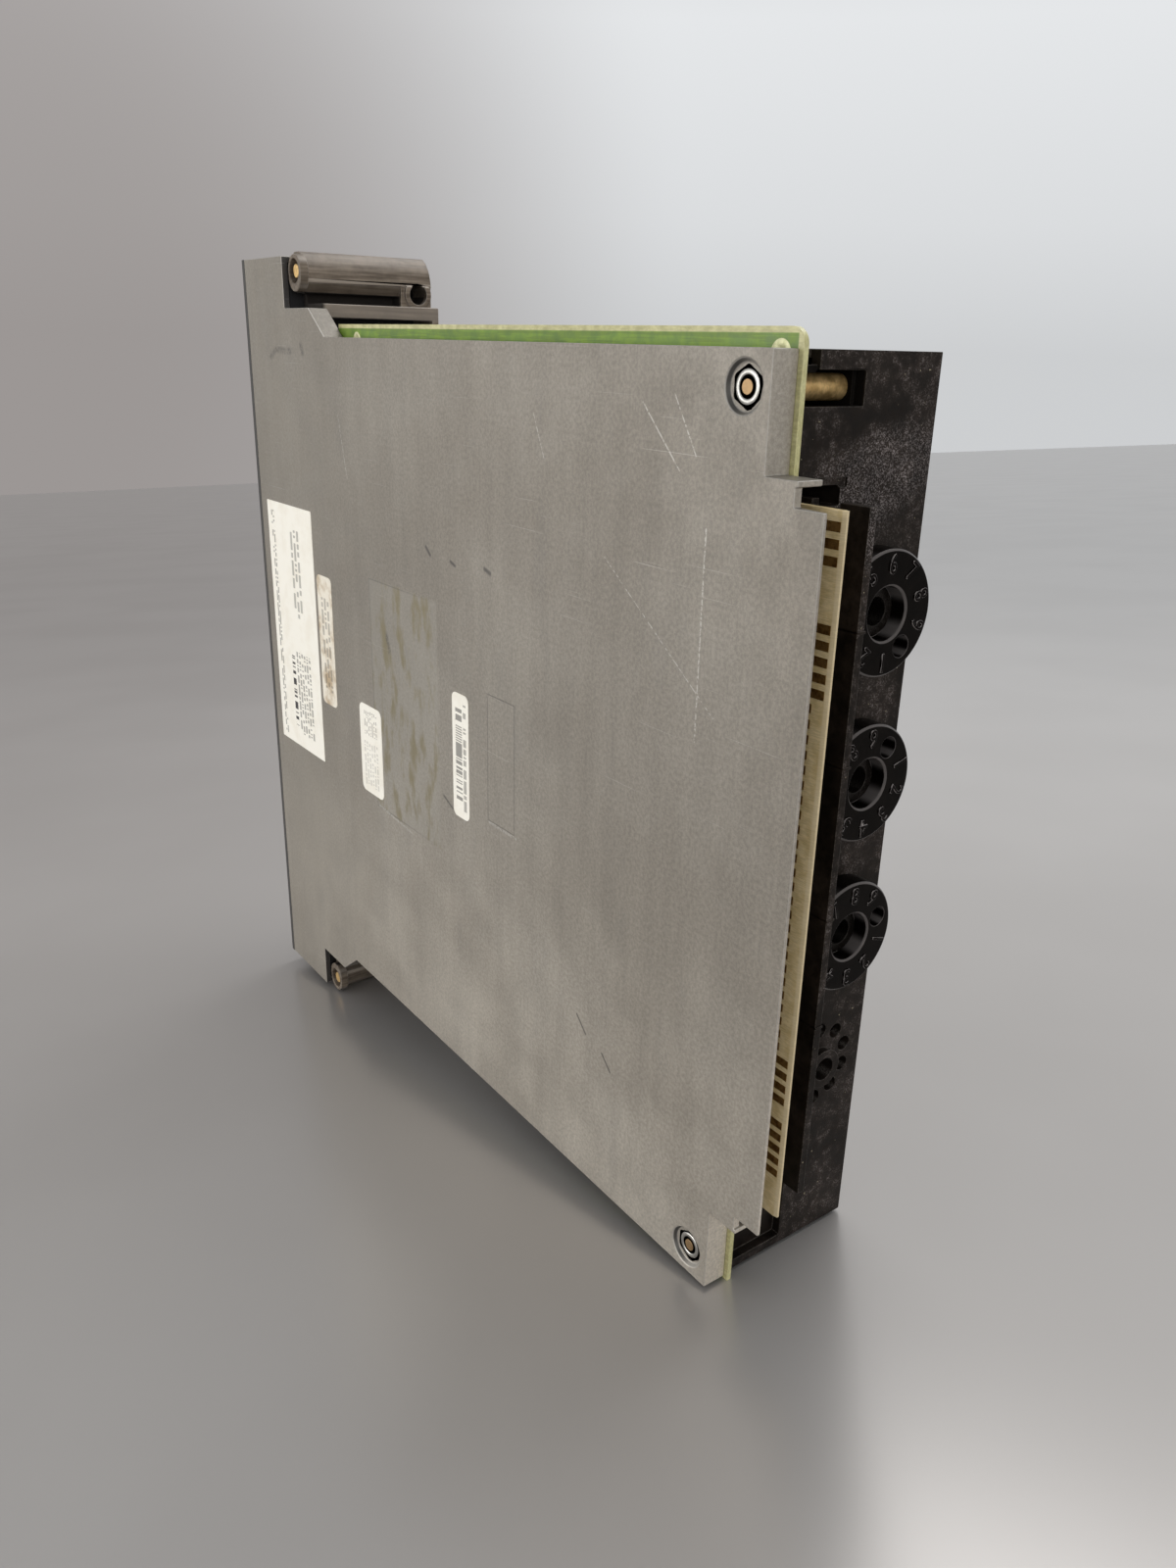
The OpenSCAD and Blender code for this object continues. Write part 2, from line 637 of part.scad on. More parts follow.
module main_label() in_frame() color("white") round_label([-307.4, -260.8], [89.3, 198.1], 0.6);
module strip_label() in_frame() color("white") round_label([-258.4, -244.4], [118, 173.2], 2.5);
module small_label() in_frame() color("white") round_label([-222.6, -203.4], [89.5, 127.3], 3);
module barcode_label() in_frame() color("white") round_label([-146.5, -135.4], [104, 150.5], 2.5);

side_cover();
main_board();
edge_contacts();
rear_plate();
upper_fixing_block();
lower_fixing_block();
upper_fixing_screw();
lower_fixing_screw();
upper_screw_clip();
lower_screw_clip();
code_disc_1();
code_disc_2();
code_disc_3();
cover_nuts();
rear_pillars();
pillar_screws();
front_rods();
front_body();
status_lens();
lamp_board();
status_lamps();
connector_shells();
connector_inserts();
jack_posts();
far_cover();
far_cover_screws();
daughter_board();
inner_standoffs();
outer_standoffs();
board_header();
processor_chips();
logic_chips();
capacitors();
crystal_can();
main_label();
strip_label();
small_label();
barcode_label();
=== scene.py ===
import json
import math

import bmesh
import bpy
from mathutils import Matrix, Vector


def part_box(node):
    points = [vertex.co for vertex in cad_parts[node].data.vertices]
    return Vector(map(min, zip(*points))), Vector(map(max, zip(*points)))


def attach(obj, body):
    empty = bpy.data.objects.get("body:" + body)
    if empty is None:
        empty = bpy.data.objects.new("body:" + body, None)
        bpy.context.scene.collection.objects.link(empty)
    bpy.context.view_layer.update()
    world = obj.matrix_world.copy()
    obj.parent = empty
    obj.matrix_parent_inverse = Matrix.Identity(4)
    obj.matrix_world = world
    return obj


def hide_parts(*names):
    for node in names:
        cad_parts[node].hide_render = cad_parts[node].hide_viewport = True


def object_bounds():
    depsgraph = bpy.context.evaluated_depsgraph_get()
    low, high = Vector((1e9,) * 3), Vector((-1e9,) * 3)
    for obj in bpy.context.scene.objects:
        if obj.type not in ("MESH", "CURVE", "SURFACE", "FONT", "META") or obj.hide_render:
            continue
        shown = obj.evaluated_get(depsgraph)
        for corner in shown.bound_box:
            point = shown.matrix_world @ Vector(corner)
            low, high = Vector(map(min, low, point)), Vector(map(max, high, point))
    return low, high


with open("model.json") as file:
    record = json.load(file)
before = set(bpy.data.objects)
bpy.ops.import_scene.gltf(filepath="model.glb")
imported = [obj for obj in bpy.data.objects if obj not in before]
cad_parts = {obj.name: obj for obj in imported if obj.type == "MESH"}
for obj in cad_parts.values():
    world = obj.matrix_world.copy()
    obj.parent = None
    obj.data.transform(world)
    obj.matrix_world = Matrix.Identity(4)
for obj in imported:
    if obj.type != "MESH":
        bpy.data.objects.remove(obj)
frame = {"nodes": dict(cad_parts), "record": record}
cad_low, cad_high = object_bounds()

# Places below are in millimetres from a datum: x = 0 on the cover's outer face and negative
# towards the far side, y = 0 on the cover's rear wall and negative towards the front, z = 0 on
# the case's lower edge.
MM = 0.001
TAB_REACH = 19.5  # from the cover's rear wall to the end of its tab
DATUM = Vector((
    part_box("side_cover")[1].x,
    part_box("side_cover")[1].y - TAB_REACH * MM,
    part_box("far_cover")[0].z,
))
CASE_HEIGHT = (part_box("far_cover")[1].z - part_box("far_cover")[0].z) / MM
CODE_STEPS = 10
# where each disc's pin hole stands, in code steps clockwise from the top, seen from the rear
DISC_REST = (4, 1, 2)
HUB_X = -41.5
HUB_HEIGHTS = (202.0, 155.5, 109.0)
HUB_SPREAD = 50.0  # the square of the radius that a disc covers round its hub
STUD_Y = -8.95
STUD_INSET = 8.55  # from the case's lower and upper edge to the axis of a stud
RECESS_RADIUS = 6.8  # of the round recess that each nut sits in
BORE_X = -53.5
BORE_RISE = 17.1  # of a locating bore above the nearer edge of the case
BORE_RADIUS = 3.8
POCKET_X, POCKET_Z = (-32.6, -10), (252, 261.5)  # the pocket that the upper pillar stands in
GHOST_LABEL = (-209.3, -157), (86, 179.4)  # y and z of a label that has come off the cover
CAST_BOX = (-123, -106), (109.4, 155)  # y and z of the box that is cast into the cover


def at(x, y, z):
    """A point in the row frame, in metres, from datum millimetres."""
    return DATUM + Vector((x, y, z)) * MM


# ---------------------------------------------------------------- materials

AXIS_X, AXIS_Y = 0, 1


class Look:
    """One procedural material. Its methods add shader nodes and return their output sockets.

    A mask is a socket that is 1 where something shows and 0 elsewhere."""

    def __init__(self, name, **settings):
        self.material = bpy.data.materials.new(name)
        self.material.use_nodes = True
        self.tree = self.material.node_tree
        self.shader = self.tree.nodes["Principled BSDF"]
        for socket, value in settings.items():
            self.shader.inputs[socket.replace("_", " ")].default_value = value
        raw = self.node("TexCoord").outputs["Object"]
        moved = self.node("VectorMath", operation="SUBTRACT")
        self.feed(moved.inputs[0], raw)
        moved.inputs[1].default_value = DATUM
        scaled = self.node("VectorMath", operation="SCALE")
        self.feed(scaled.inputs[0], moved.outputs[0])
        scaled.inputs["Scale"].default_value = 1 / MM
        self.place = scaled.outputs[0]
        self.x, self.y, self.z = self.parts(self.place)

    def node(self, kind, **settings):
        made = self.tree.nodes.new("ShaderNode" + kind)
        for key, value in settings.items():
            setattr(made, key, value)
        return made

    def feed(self, socket, value):
        if isinstance(value, bpy.types.NodeSocket):
            self.tree.links.new(value, socket)
        else:
            socket.default_value = value

    def parts(self, vector):
        split = self.node("SeparateXYZ")
        self.feed(split.inputs[0], vector)
        return split.outputs[0], split.outputs[1], split.outputs[2]

    def math(self, operation, *values):
        made = self.node("Math", operation=operation)
        for socket, value in zip(made.inputs, values):
            self.feed(socket, value)
        return made.outputs[0]

    def minus(self, value, other):
        return self.math("SUBTRACT", value, other)

    def times(self, *values):
        result = values[0]
        for value in values[1:]:
            result = self.math("MULTIPLY", result, value)
        return result

    def plus(self, base, mask, amount):
        """The base raised by an amount where the mask is 1."""
        return self.math("MULTIPLY_ADD", mask, amount, base)

    def total(self, masks):
        result = masks[0]
        for mask in masks[1:]:
            result = self.math("ADD", result, mask)
        return self.math("MINIMUM", result, 1.0)

    def spread(self, first, second):
        """The square of the distance that two offsets at right angles make."""
        return self.math("ADD", self.math("POWER", first, 2.0), self.math("POWER", second, 2.0))

    def distance(self, first, second):
        return self.math("POWER", self.spread(first, second), 0.5)

    def rise(self):
        """The height above the nearer of the case's lower and upper edge."""
        from_middle = self.math("ABSOLUTE", self.minus(self.z, CASE_HEIGHT / 2))
        return self.minus(from_middle, CASE_HEIGHT / 2)

    def mapped(self, value, low, high, to_low=0.0, to_high=1.0):
        made = self.node("MapRange", interpolation_type="SMOOTHSTEP", clamp=True)
        for socket, given in zip(made.inputs, (value, low, high, to_low, to_high)):
            self.feed(socket, given)
        return made.outputs[0]

    def stretched(self, stretch, turn=0.0):
        made = self.node("Mapping")
        self.feed(made.inputs["Vector"], self.place)
        made.inputs["Rotation"].default_value = (turn, 0, 0)
        made.inputs["Scale"].default_value = stretch
        return made.outputs[0]

    def noise(self, scale, detail=3.0, rough=0.55, stretch=None, turn=0.0):
        made = self.node("TexNoise")
        place = self.stretched(stretch, turn) if stretch else self.place
        self.feed(made.inputs["Vector"], place)
        made.inputs["Scale"].default_value = scale
        made.inputs["Detail"].default_value = detail
        made.inputs["Roughness"].default_value = rough
        return made.outputs["Fac"]

    def mix(self, factor, under, over):
        made = self.node("Mix", data_type="RGBA")
        self.feed(made.inputs[0], factor)
        for socket, value in ((made.inputs[6], under), (made.inputs[7], over)):
            self.feed(socket, (*value, 1) if isinstance(value, tuple) else value)
        return made.outputs[2]

    def between(self, value, span, start, end):
        """A colour that goes from start to end as the value crosses the span."""
        return self.mix(self.mapped(value, *span), start, end)

    def over(self, colour, paint, mask, share=1.0):
        """The colour with a share of paint over it where the mask is 1."""
        return self.mix(self.times(mask, share), colour, paint)

    def shade(self, colour, amount):
        """The colour made lighter or darker by a factor."""
        made = self.node("Mix", data_type="RGBA", blend_type="MULTIPLY")
        grey = self.node("CombineColor")
        for socket in grey.inputs[:3]:
            self.feed(socket, amount)
        made.inputs[0].default_value = 1
        self.feed(made.inputs[6], colour)
        self.feed(made.inputs[7], grey.outputs[0])
        return made.outputs[2]

    def varied(self, colour, value, span, factors):
        """The colour, shaded from the first to the second factor as the value crosses the span."""
        return self.shade(colour, self.mapped(value, *span, *factors))

    def lit(self, colour, mask, amount):
        """The colour made lighter, or darker below 0, by an amount where the mask is 1."""
        return self.shade(colour, self.plus(1.0, mask, amount))

    def band(self, value, low, high, soft=0.3):
        """1 between low and high, falling to 0 over the soft width outside."""
        rise = self.mapped(value, low - soft, low)
        fall = self.mapped(value, high + soft, high)
        return self.times(rise, fall)

    def patch(self, y, z, soft=0.3):
        """1 inside a rectangle of the side face, given by its y and z ranges."""
        return self.times(self.band(self.y, *y, soft), self.band(self.z, *z, soft))

    def frame_line(self, y, z, width, soft=0.3):
        """1 along the border of a rectangle of the side face."""
        inner_y, inner_z = (y[0] + width, y[1] - width), (z[0] + width, z[1] - width)
        inside = self.patch(inner_y, inner_z, soft)
        return self.minus(self.patch(y, z, soft), inside)

    def streak(self, start, end, width):
        """1 along a straight mark on the side face between two (y, z) points."""
        run = Vector(end) - Vector(start)
        along, across = run.normalized(), run.normalized().orthogonal()
        y, z = self.minus(self.y, start[0]), self.minus(self.z, start[1])

        def measured(direction):
            return self.plus(self.times(y, direction.x), z, direction.y)

        reach = self.band(measured(along), 0, run.length, soft=width)
        side = self.mapped(self.math("ABSOLUTE", measured(across)), width, width * 0.2)
        return self.times(reach, side)

    def normal_sizes(self):
        normal = self.node("NewGeometry").outputs["Normal"]
        return [self.math("ABSOLUTE", part) for part in self.parts(normal)]

    def edge_wear(self, low=0.03, high=0.25):
        """1 on rounded edges between faces that are square to the module's axes."""
        sizes = self.normal_sizes()
        largest = self.math("MAXIMUM", self.math("MAXIMUM", sizes[0], sizes[1]), sizes[2])
        return self.mapped(self.minus(1.0, largest), low, high)

    def facing(self, axis, low=0.6, high=0.8):
        """1 on faces that are square to one axis."""
        return self.mapped(self.normal_sizes()[axis], low, high)

    def done(self, colour, roughness, height=None, strength=0.5):
        """Sets colour and roughness, and a bump whose height is in millimetres."""
        self.feed(self.shader.inputs["Base Color"], colour)
        self.feed(self.shader.inputs["Roughness"], roughness)
        if height is not None:
            bump = self.node("Bump")
            bump.inputs["Strength"].default_value = strength
            bump.inputs["Distance"].default_value = MM
            self.feed(bump.inputs["Height"], height)
            self.feed(self.shader.inputs["Normal"], bump.outputs[0])
        return self.material


def cast_cover():
    """Die-cast aluminium: grainy, faintly streaked, scuffed, with label marks left on it."""
    look = Look("cast_cover", Metallic=0.55, Specular_IOR_Level=0.5)
    broad = look.noise(0.012, 4, 0.6)
    streaks = look.noise(1.0, 4, 0.6, stretch=(0.1, 0.16, 0.014))
    grain = look.noise(0.85, 3, 0.75)
    fine = look.noise(3.0, 2, 0.6)
    colour = look.between(broad, (0.35, 0.65), (0.245, 0.221, 0.188), (0.297, 0.272, 0.235))
    colour = look.varied(colour, streaks, (0.3, 0.7), (0.955, 1.04))
    colour = look.varied(colour, grain, (0.33, 0.68), (0.87, 1.15))
    colour = look.varied(colour, fine, (0.3, 0.7), (0.95, 1.06))
    # the front part is darker and browner than the rear
    colour = look.over(colour, (0.219, 0.197, 0.166), look.mapped(look.y, -150, -290), 0.35)

    # painted light: the lower part is painted lighter, as if lit from the floor, and painted shade makes
    # the rear top a little darker
    bounce_lit_low_part = look.times(look.mapped(look.z, 160, 0), look.mapped(look.y, -300, -150, 0.5, 1.0))
    colour = look.lit(colour, bounce_lit_low_part, 0.55)
    shaded_rear_top = look.times(look.mapped(look.z, 110, 240), look.mapped(look.y, -130, -20))
    colour = look.lit(colour, shaded_rear_top, -0.13)
    # painted light makes the rear-facing walls lighter, and painted shade darkens them behind the flange
    lit_end_walls = look.facing(AXIS_Y, 0.85, 0.95)
    colour = look.lit(colour, lit_end_walls, 0.75)
    shade_behind_flange = look.times(lit_end_walls, look.band(look.y, -276, -268))
    colour = look.over(colour, (0.02, 0.02, 0.024), shade_behind_flange, 0.9)

    # a label that has come off left its outline, a paler field and yellow glue stains
    line_shade = (0.13, 0.12, 0.11)
    field = look.patch(*GHOST_LABEL, 0.8)
    colour = look.over(colour, (0.37, 0.352, 0.31), field, 0.3)
    glue = look.mapped(look.noise(0.11, 3, 0.6, stretch=(1, 1.3, 0.5)), 0.47, 0.66)
    colour = look.over(colour, (0.225, 0.19, 0.105), look.times(field, glue), 0.75)
    rim = look.times(look.frame_line(*GHOST_LABEL, 0.5, 0.35), look.mapped(look.y, -150, -200))
    colour = look.over(colour, line_shade, rim, 0.55)
    cast_line = look.frame_line(*CAST_BOX, 0.5, 0.25)
    colour = look.over(colour, line_shade, cast_line, 0.45)

    dark = look.total([
        look.streak((-163, 198), (-160, 195.5), 1.0),
        look.streak((-146, 195.5), (-143, 194.5), 0.9),
        look.streak((-124, 196.5), (-120.5, 195.5), 1.1),
        look.streak((-153.9, 108.4), (-147.4, 105.4), 0.7),
        look.streak((-68, 60), (-63, 55), 0.6),
        look.streak((-54, 52.5), (-49.5, 48), 0.6),
    ])
    faint = look.total([
        look.streak((-292, 257), (-286, 260), 1.6),
        look.streak((-284, 260), (-277, 259.6), 1.8),
        look.streak((-274, 259.5), (-271, 259.8), 2.0),
        look.streak((-196, 160), (-194, 154), 1.8),
        look.streak((-261, 262), (-259.5, 259), 2.0),
    ])
    patchy = look.mapped(look.noise(0.8, 2, 0.6), 0.4, 0.6, 0.2, 0.75)
    dark = look.total([dark, look.times(faint, patchy)])
    colour = look.over(colour, (0.06, 0.055, 0.055), dark, 0.72)
    scratches = look.total([
        look.streak((-18.8, 223), (-18.6, 168), 0.45),
        look.streak((-208, 86.5), (-180, 84), 0.7),
        look.streak((-122, 109), (-105, 108.6), 0.7),
        look.streak((-46, 252), (-30, 236), 0.35),
        look.streak((-33, 254), (-24, 240), 0.3),
        look.streak((-60, 210), (-12, 176), 0.25),
        look.streak((-230, 238), (-224, 214), 0.3),
        look.streak((-96, 246), (-90, 233), 0.25),
    ])
    broken = look.mapped(look.noise(0.9, 2, 0.6), 0.42, 0.56)
    hair = look.mapped(look.noise(1.0, 2, 0.5, stretch=(0.2, 0.02, 2.4), turn=0.75), 0.715, 0.76)
    hair_too = look.mapped(look.noise(1.0, 2, 0.5, stretch=(0.2, 0.02, 2.0), turn=-1.1), 0.72, 0.76)
    hairs = look.times(look.total([hair, hair_too]), 0.5)
    bright = look.total([look.times(scratches, broken), hairs])
    colour = look.over(colour, (0.62, 0.6, 0.56), bright, 0.5)
    smudge = look.mapped(look.noise(0.045, 4, 0.65, stretch=(1, 1.6, 0.5)), 0.56, 0.72)
    colour = look.over(colour, (0.17, 0.165, 0.16), smudge, 0.13)

    # painted shade: the slanted walls between case and flange are painted darker, as dull as the face
    slanted = look.times(look.band(look.y, -273, -230, 0.5), look.mapped(look.x, -0.35, -0.45))
    rise = look.rise()
    colour = look.lit(colour, look.times(slanted, look.mapped(rise, -0.5, 0.5)), -0.2)
    # painted highlight and rubbed wear: the rounded edges are painted paler, except on the slanted walls
    pale_edges = look.times(look.edge_wear(), look.plus(1.0, slanted, -0.95))
    colour = look.over(colour, (0.6, 0.58, 0.54), pale_edges, 0.55)
    # painted shade in the round recesses of the nuts, deepest along their front wall
    aside = look.minus(look.y, STUD_Y)
    out = look.distance(aside, look.math("ADD", rise, STUD_INSET))
    sunk = look.times(
        look.mapped(look.x, -0.12, -0.5), look.mapped(out, RECESS_RADIUS + 0.2, RECESS_RADIUS - 0.2))
    front_wall = look.times(look.mapped(out, 5.45, 5.75), look.mapped(aside, 2.0, -3.5))
    recess_shade = look.times(sunk, look.plus(0.1, front_wall, 0.75))
    colour = look.over(colour, (0.035, 0.034, 0.033), recess_shade)

    roughness = look.mapped(look.noise(0.05, 4, 0.6), 0.3, 0.7, 0.46, 0.6)
    roughness = look.plus(roughness, bright, -0.15)
    height = look.times(grain, 0.05)
    for mask, depth in ((fine, 0.02), (cast_line, -0.12), (bright, -0.01)):
        height = look.plus(height, mask, depth)
    return look.done(colour, roughness, height, 0.55)


def card():
    """Green mask on the card's faces, and bare glass laminate on its edges, margin and tongue."""
    mask_top, mask_rear = CASE_HEIGHT + 3.1, -0.6
    tongue_start, tongue_rim = 1.8, 17.2
    look = Look("board_green", Specular_IOR_Level=0.5, Coat_Weight=0.25, Coat_Roughness=0.2)
    weave = look.noise(1.0, 2, 0.5, stretch=(0.4, 0.35, 5.0))
    cloudy = look.noise(0.25, 3, 0.6)
    tan = look.between(cloudy, (0.35, 0.65), (0.56, 0.43, 0.215), (0.67, 0.54, 0.31))
    tan = look.varied(tan, weave, (0.35, 0.65), (0.86, 1.1))
    glass = look.noise(1.0, 2, 0.6, stretch=(4.0, 0.4, 1.3))
    pale = look.between(cloudy, (0.3, 0.7), (0.48, 0.45, 0.21), (0.60, 0.57, 0.30))
    pale = look.varied(pale, glass, (0.32, 0.68), (0.86, 1.1))
    tracks = look.mapped(look.noise(1.0, 1, 0.4, stretch=(0.3, 0.05, 1.4)), 0.5, 0.53)
    green = look.between(cloudy, (0.35, 0.65), (0.105, 0.202, 0.010), (0.162, 0.268, 0.014))
    green = look.varied(green, tracks, (0, 1), (0.9, 1.12))
    masked = look.times(
        look.facing(AXIS_X), look.band(look.z, -2, mask_top, 0.35), look.band(look.y, -400, mask_rear, 0.3))
    colour = look.between(look.y, (tongue_start, tongue_start + 0.6), pale, tan)
    colour = look.over(colour, green, masked)
    rim = look.mapped(look.y, tongue_rim, tongue_rim + 0.4)
    colour = look.over(colour, (0.66, 0.55, 0.36), rim, 0.6)
    return look.done(colour, look.mapped(cloudy, 0.3, 0.7, 0.38, 0.55), look.times(weave, 0.02), 0.4)


def contact_metal():
    look = Look("contact_metal", Metallic=0.75)
    blotch = look.noise(0.55, 4, 0.6)
    fine = look.noise(3.0, 2, 0.6, stretch=(1, 0.25, 2))
    colour = look.between(blotch, (0.35, 0.62), (0.16, 0.075, 0.018), (0.36, 0.20, 0.06))
    colour = look.varied(colour, fine, (0.3, 0.7), (0.85, 1.12))
    return look.done(colour, look.mapped(blotch, 0.3, 0.7, 0.55, 0.35))


def dusty_black():
    """Black moulding with brownish clouds and pale dust in its grain."""
    look = Look("black_plastic", Specular_IOR_Level=0.15, Specular_Tint=(1, 0.9, 0.82, 1))
    cloudy = look.noise(0.055, 5, 0.62)
    mottle = look.noise(0.3, 5, 0.72)
    grain = look.noise(2.2, 3, 0.7)
    colour = look.between(cloudy, (0.36, 0.64), (0.0065, 0.0048, 0.0038), (0.019, 0.014, 0.0112))
    colour = look.varied(colour, mottle, (0.32, 0.68), (0.6, 1.55))
    rear_face = look.times(look.facing(AXIS_Y), look.band(look.y, -1.6, 14))
    clouds = look.times(look.mapped(mottle, 0.42, 0.64), look.mapped(cloudy, 0.4, 0.56))
    # pale dust lies thickest between the slot's head and the first disc
    swept = look.plus(look.z, look.x, 0.55)
    thickest = look.times(look.band(swept, 205, 221, 9), look.band(look.z, 221, 243, 8))
    zone = look.times(look.plus(clouds, thickest, 1.1), rear_face)
    specks = look.mapped(look.noise(2.6, 2, 0.7), 0.47, 0.66)
    colour = look.over(colour, (0.30, 0.265, 0.26), look.times(specks, zone), 0.42)
    chips = look.times(look.mapped(look.noise(0.7, 2, 0.5), 0.74, 0.78), rear_face)
    colour = look.over(colour, (0.55, 0.48, 0.33), chips, 0.7)
    pale_edges = look.times(look.edge_wear(), look.mapped(grain, 0.35, 0.6))
    colour = look.over(colour, (0.22, 0.20, 0.18), pale_edges, 0.35)
    # painted shade: the hubs, deep inside their discs, are painted almost black, and they are glossier
    aside = look.minus(look.x, HUB_X)
    spreads = [look.spread(aside, look.minus(look.z, height)) for height in HUB_HEIGHTS]
    hubs = look.total([look.mapped(spread, HUB_SPREAD + 2, HUB_SPREAD - 2) for spread in spreads])
    colour = look.over(colour, (0.004, 0.0035, 0.003), hubs, 0.85)
    # no light or dust reaches into the pocket
    pocket = look.times(look.band(look.x, *POCKET_X, 0.2), look.band(look.z, *POCKET_Z, 0.2),
                        look.mapped(look.y, -1.3, -1.7))
    colour = look.over(colour, (0.001, 0.001, 0.001), pocket, 0.85)
    roughness = look.plus(look.mapped(mottle, 0.3, 0.7, 0.42, 0.62), pocket, 0.4)
    roughness = look.plus(roughness, hubs, -0.27)
    height = look.plus(look.times(grain, 0.06), mottle, 0.12)
    return look.done(colour, roughness, height, 0.6)


def gloss_black(name="gloss_black_plastic", rub_and_highlight=0.32):
    look = Look(name, Specular_IOR_Level=0.065, Specular_Tint=(1, 0.88, 0.78, 1))
    cloudy = look.noise(0.2, 4, 0.6)
    grain = look.noise(2.5, 3, 0.6)
    colour = look.between(cloudy, (0.35, 0.65), (0.0014, 0.0010, 0.0008), (0.0034, 0.0025, 0.0020))
    dust = look.mapped(look.noise(1.7, 3, 0.7), 0.6, 0.72)
    colour = look.over(colour, (0.4, 0.36, 0.33), dust, 0.015)
    # painted highlight and rubbed wear: the rounded edges are painted paler
    colour = look.over(colour, (0.34, 0.31, 0.30), look.edge_wear(0.02, 0.2), rub_and_highlight)
    height = look.plus(look.times(grain, 0.02), cloudy, 0.06)
    return look.done(colour, look.mapped(grain, 0.3, 0.7, 0.16, 0.27), height, 0.5)


def brown_moulding():
    """Brownish moulding, drawn lengthwise, painted paler along its edges, partly as rubbed wear and
    partly as a painted highlight. Its marks go by the height above the nearer edge of the case, so
    that both blocks are marked alike."""
    shelf_rise, lip_rise, below_rise, gap_rise = (7, 12.5), (19.9, 21.0), (15.5, 19.3), (12.4, 16.2)
    look = Look("brown_plastic", Specular_IOR_Level=0.33, Specular_Tint=(1, 0.9, 0.8, 1))
    drawn = look.noise(1.0, 4, 0.65, stretch=(0.035, 0.8, 0.8))
    cloudy = look.noise(0.12, 4, 0.6)
    colour = look.between(drawn, (0.32, 0.68), (0.085, 0.065, 0.048), (0.20, 0.162, 0.125))
    colour = look.varied(colour, cloudy, (0.3, 0.7), (0.8, 1.2))
    rise = look.rise()
    # painted light: the shelf is painted lighter, as if lit from above
    colour = look.over(colour, (0.30, 0.26, 0.22), look.band(rise, *shelf_rise, 0.4), 0.5)
    # painted highlight along the lip of the bar, and painted shade on the underside below it
    bar_end = look.mapped(look.x, -5.2, -5.5)
    lip_highlight = look.times(look.band(rise, *lip_rise, 0.35), look.mapped(look.y, -264.6, -264.1), bar_end)
    colour = look.over(colour, (0.36, 0.31, 0.26), lip_highlight, 0.75)
    below = look.times(look.band(rise, *below_rise, 0.3), look.mapped(look.y, -264.1, -264.4),
                       bar_end, look.mapped(look.x, -46.2, -45.8))
    colour = look.over(colour, (0.03, 0.022, 0.015), below, 0.55)
    # painted highlight and rubbed wear: the rounded edges are painted paler, less so towards the front
    pale_edges = look.times(look.edge_wear(), look.mapped(cloudy, 0.3, 0.6, 0.2, 0.5),
                      look.mapped(look.y, -263.2, -264.6, 1.0, 0.45))
    colour = look.over(colour, (0.36, 0.33, 0.30), pale_edges)
    # painted shade on the end faces deep in the corner beside the cover, under the bar, and in the bores
    corner = look.times(look.mapped(look.x, -10.5, -8.5), look.mapped(rise, 16.2, 15.8))
    under = look.times(look.band(rise, *gap_rise, 0.3), look.mapped(look.y, -264.6, -266))
    from_bore = look.distance(look.minus(look.x, BORE_X), look.minus(rise, BORE_RISE))
    bore = look.mapped(from_bore, BORE_RADIUS + 0.2, BORE_RADIUS - 0.2)
    dark = look.total([corner, under, bore])
    colour = look.over(colour, (0.004, 0.004, 0.005), dark, 0.93)
    height = look.plus(look.times(look.noise(2.5), 0.04), drawn, 0.08)
    roughness = look.plus(look.mapped(drawn, 0.3, 0.7, 0.28, 0.46), dark, 0.5)
    return look.done(colour, roughness, height, 0.5)


def textured_moulding():
    look = Look("front_plastic", Specular_IOR_Level=0.45)
    spark = look.noise(1.8, 2, 0.6)
    cloudy = look.noise(0.03, 4, 0.6)
    colour = look.between(cloudy, (0.35, 0.65), (0.034, 0.032, 0.030), (0.055, 0.052, 0.048))
    colour = look.varied(colour, spark, (0.3, 0.7), (0.88, 1.12))
    colour = look.over(colour, (0.25, 0.24, 0.23), look.edge_wear(), 0.25)
    # painted shade on the rear wall, behind the cover's flange
    shade_behind_flange = look.mapped(look.y, -278.5, -277)
    colour = look.over(colour, (0.004, 0.004, 0.006), shade_behind_flange, 0.85)
    roughness = look.plus(look.mapped(cloudy, 0.3, 0.7, 0.45, 0.6), shade_behind_flange, 0.3)
    return look.done(colour, roughness, look.times(spark, 0.09), 0.6)


def plated(name, dark, light, low_rough, high_rough):
    look = Look(name, Metallic=1.0)
    cloudy = look.noise(0.35, 4, 0.65)
    turned = look.noise(1.6, 3, 0.6, stretch=(2.5, 0.6, 0.6))
    colour = look.between(cloudy, (0.32, 0.66), dark, light)
    colour = look.varied(colour, turned, (0.3, 0.7), (0.9, 1.08))
    roughness = look.mapped(cloudy, 0.3, 0.7, high_rough, low_rough)
    return look.done(colour, roughness, look.times(turned, 0.03), 0.4)


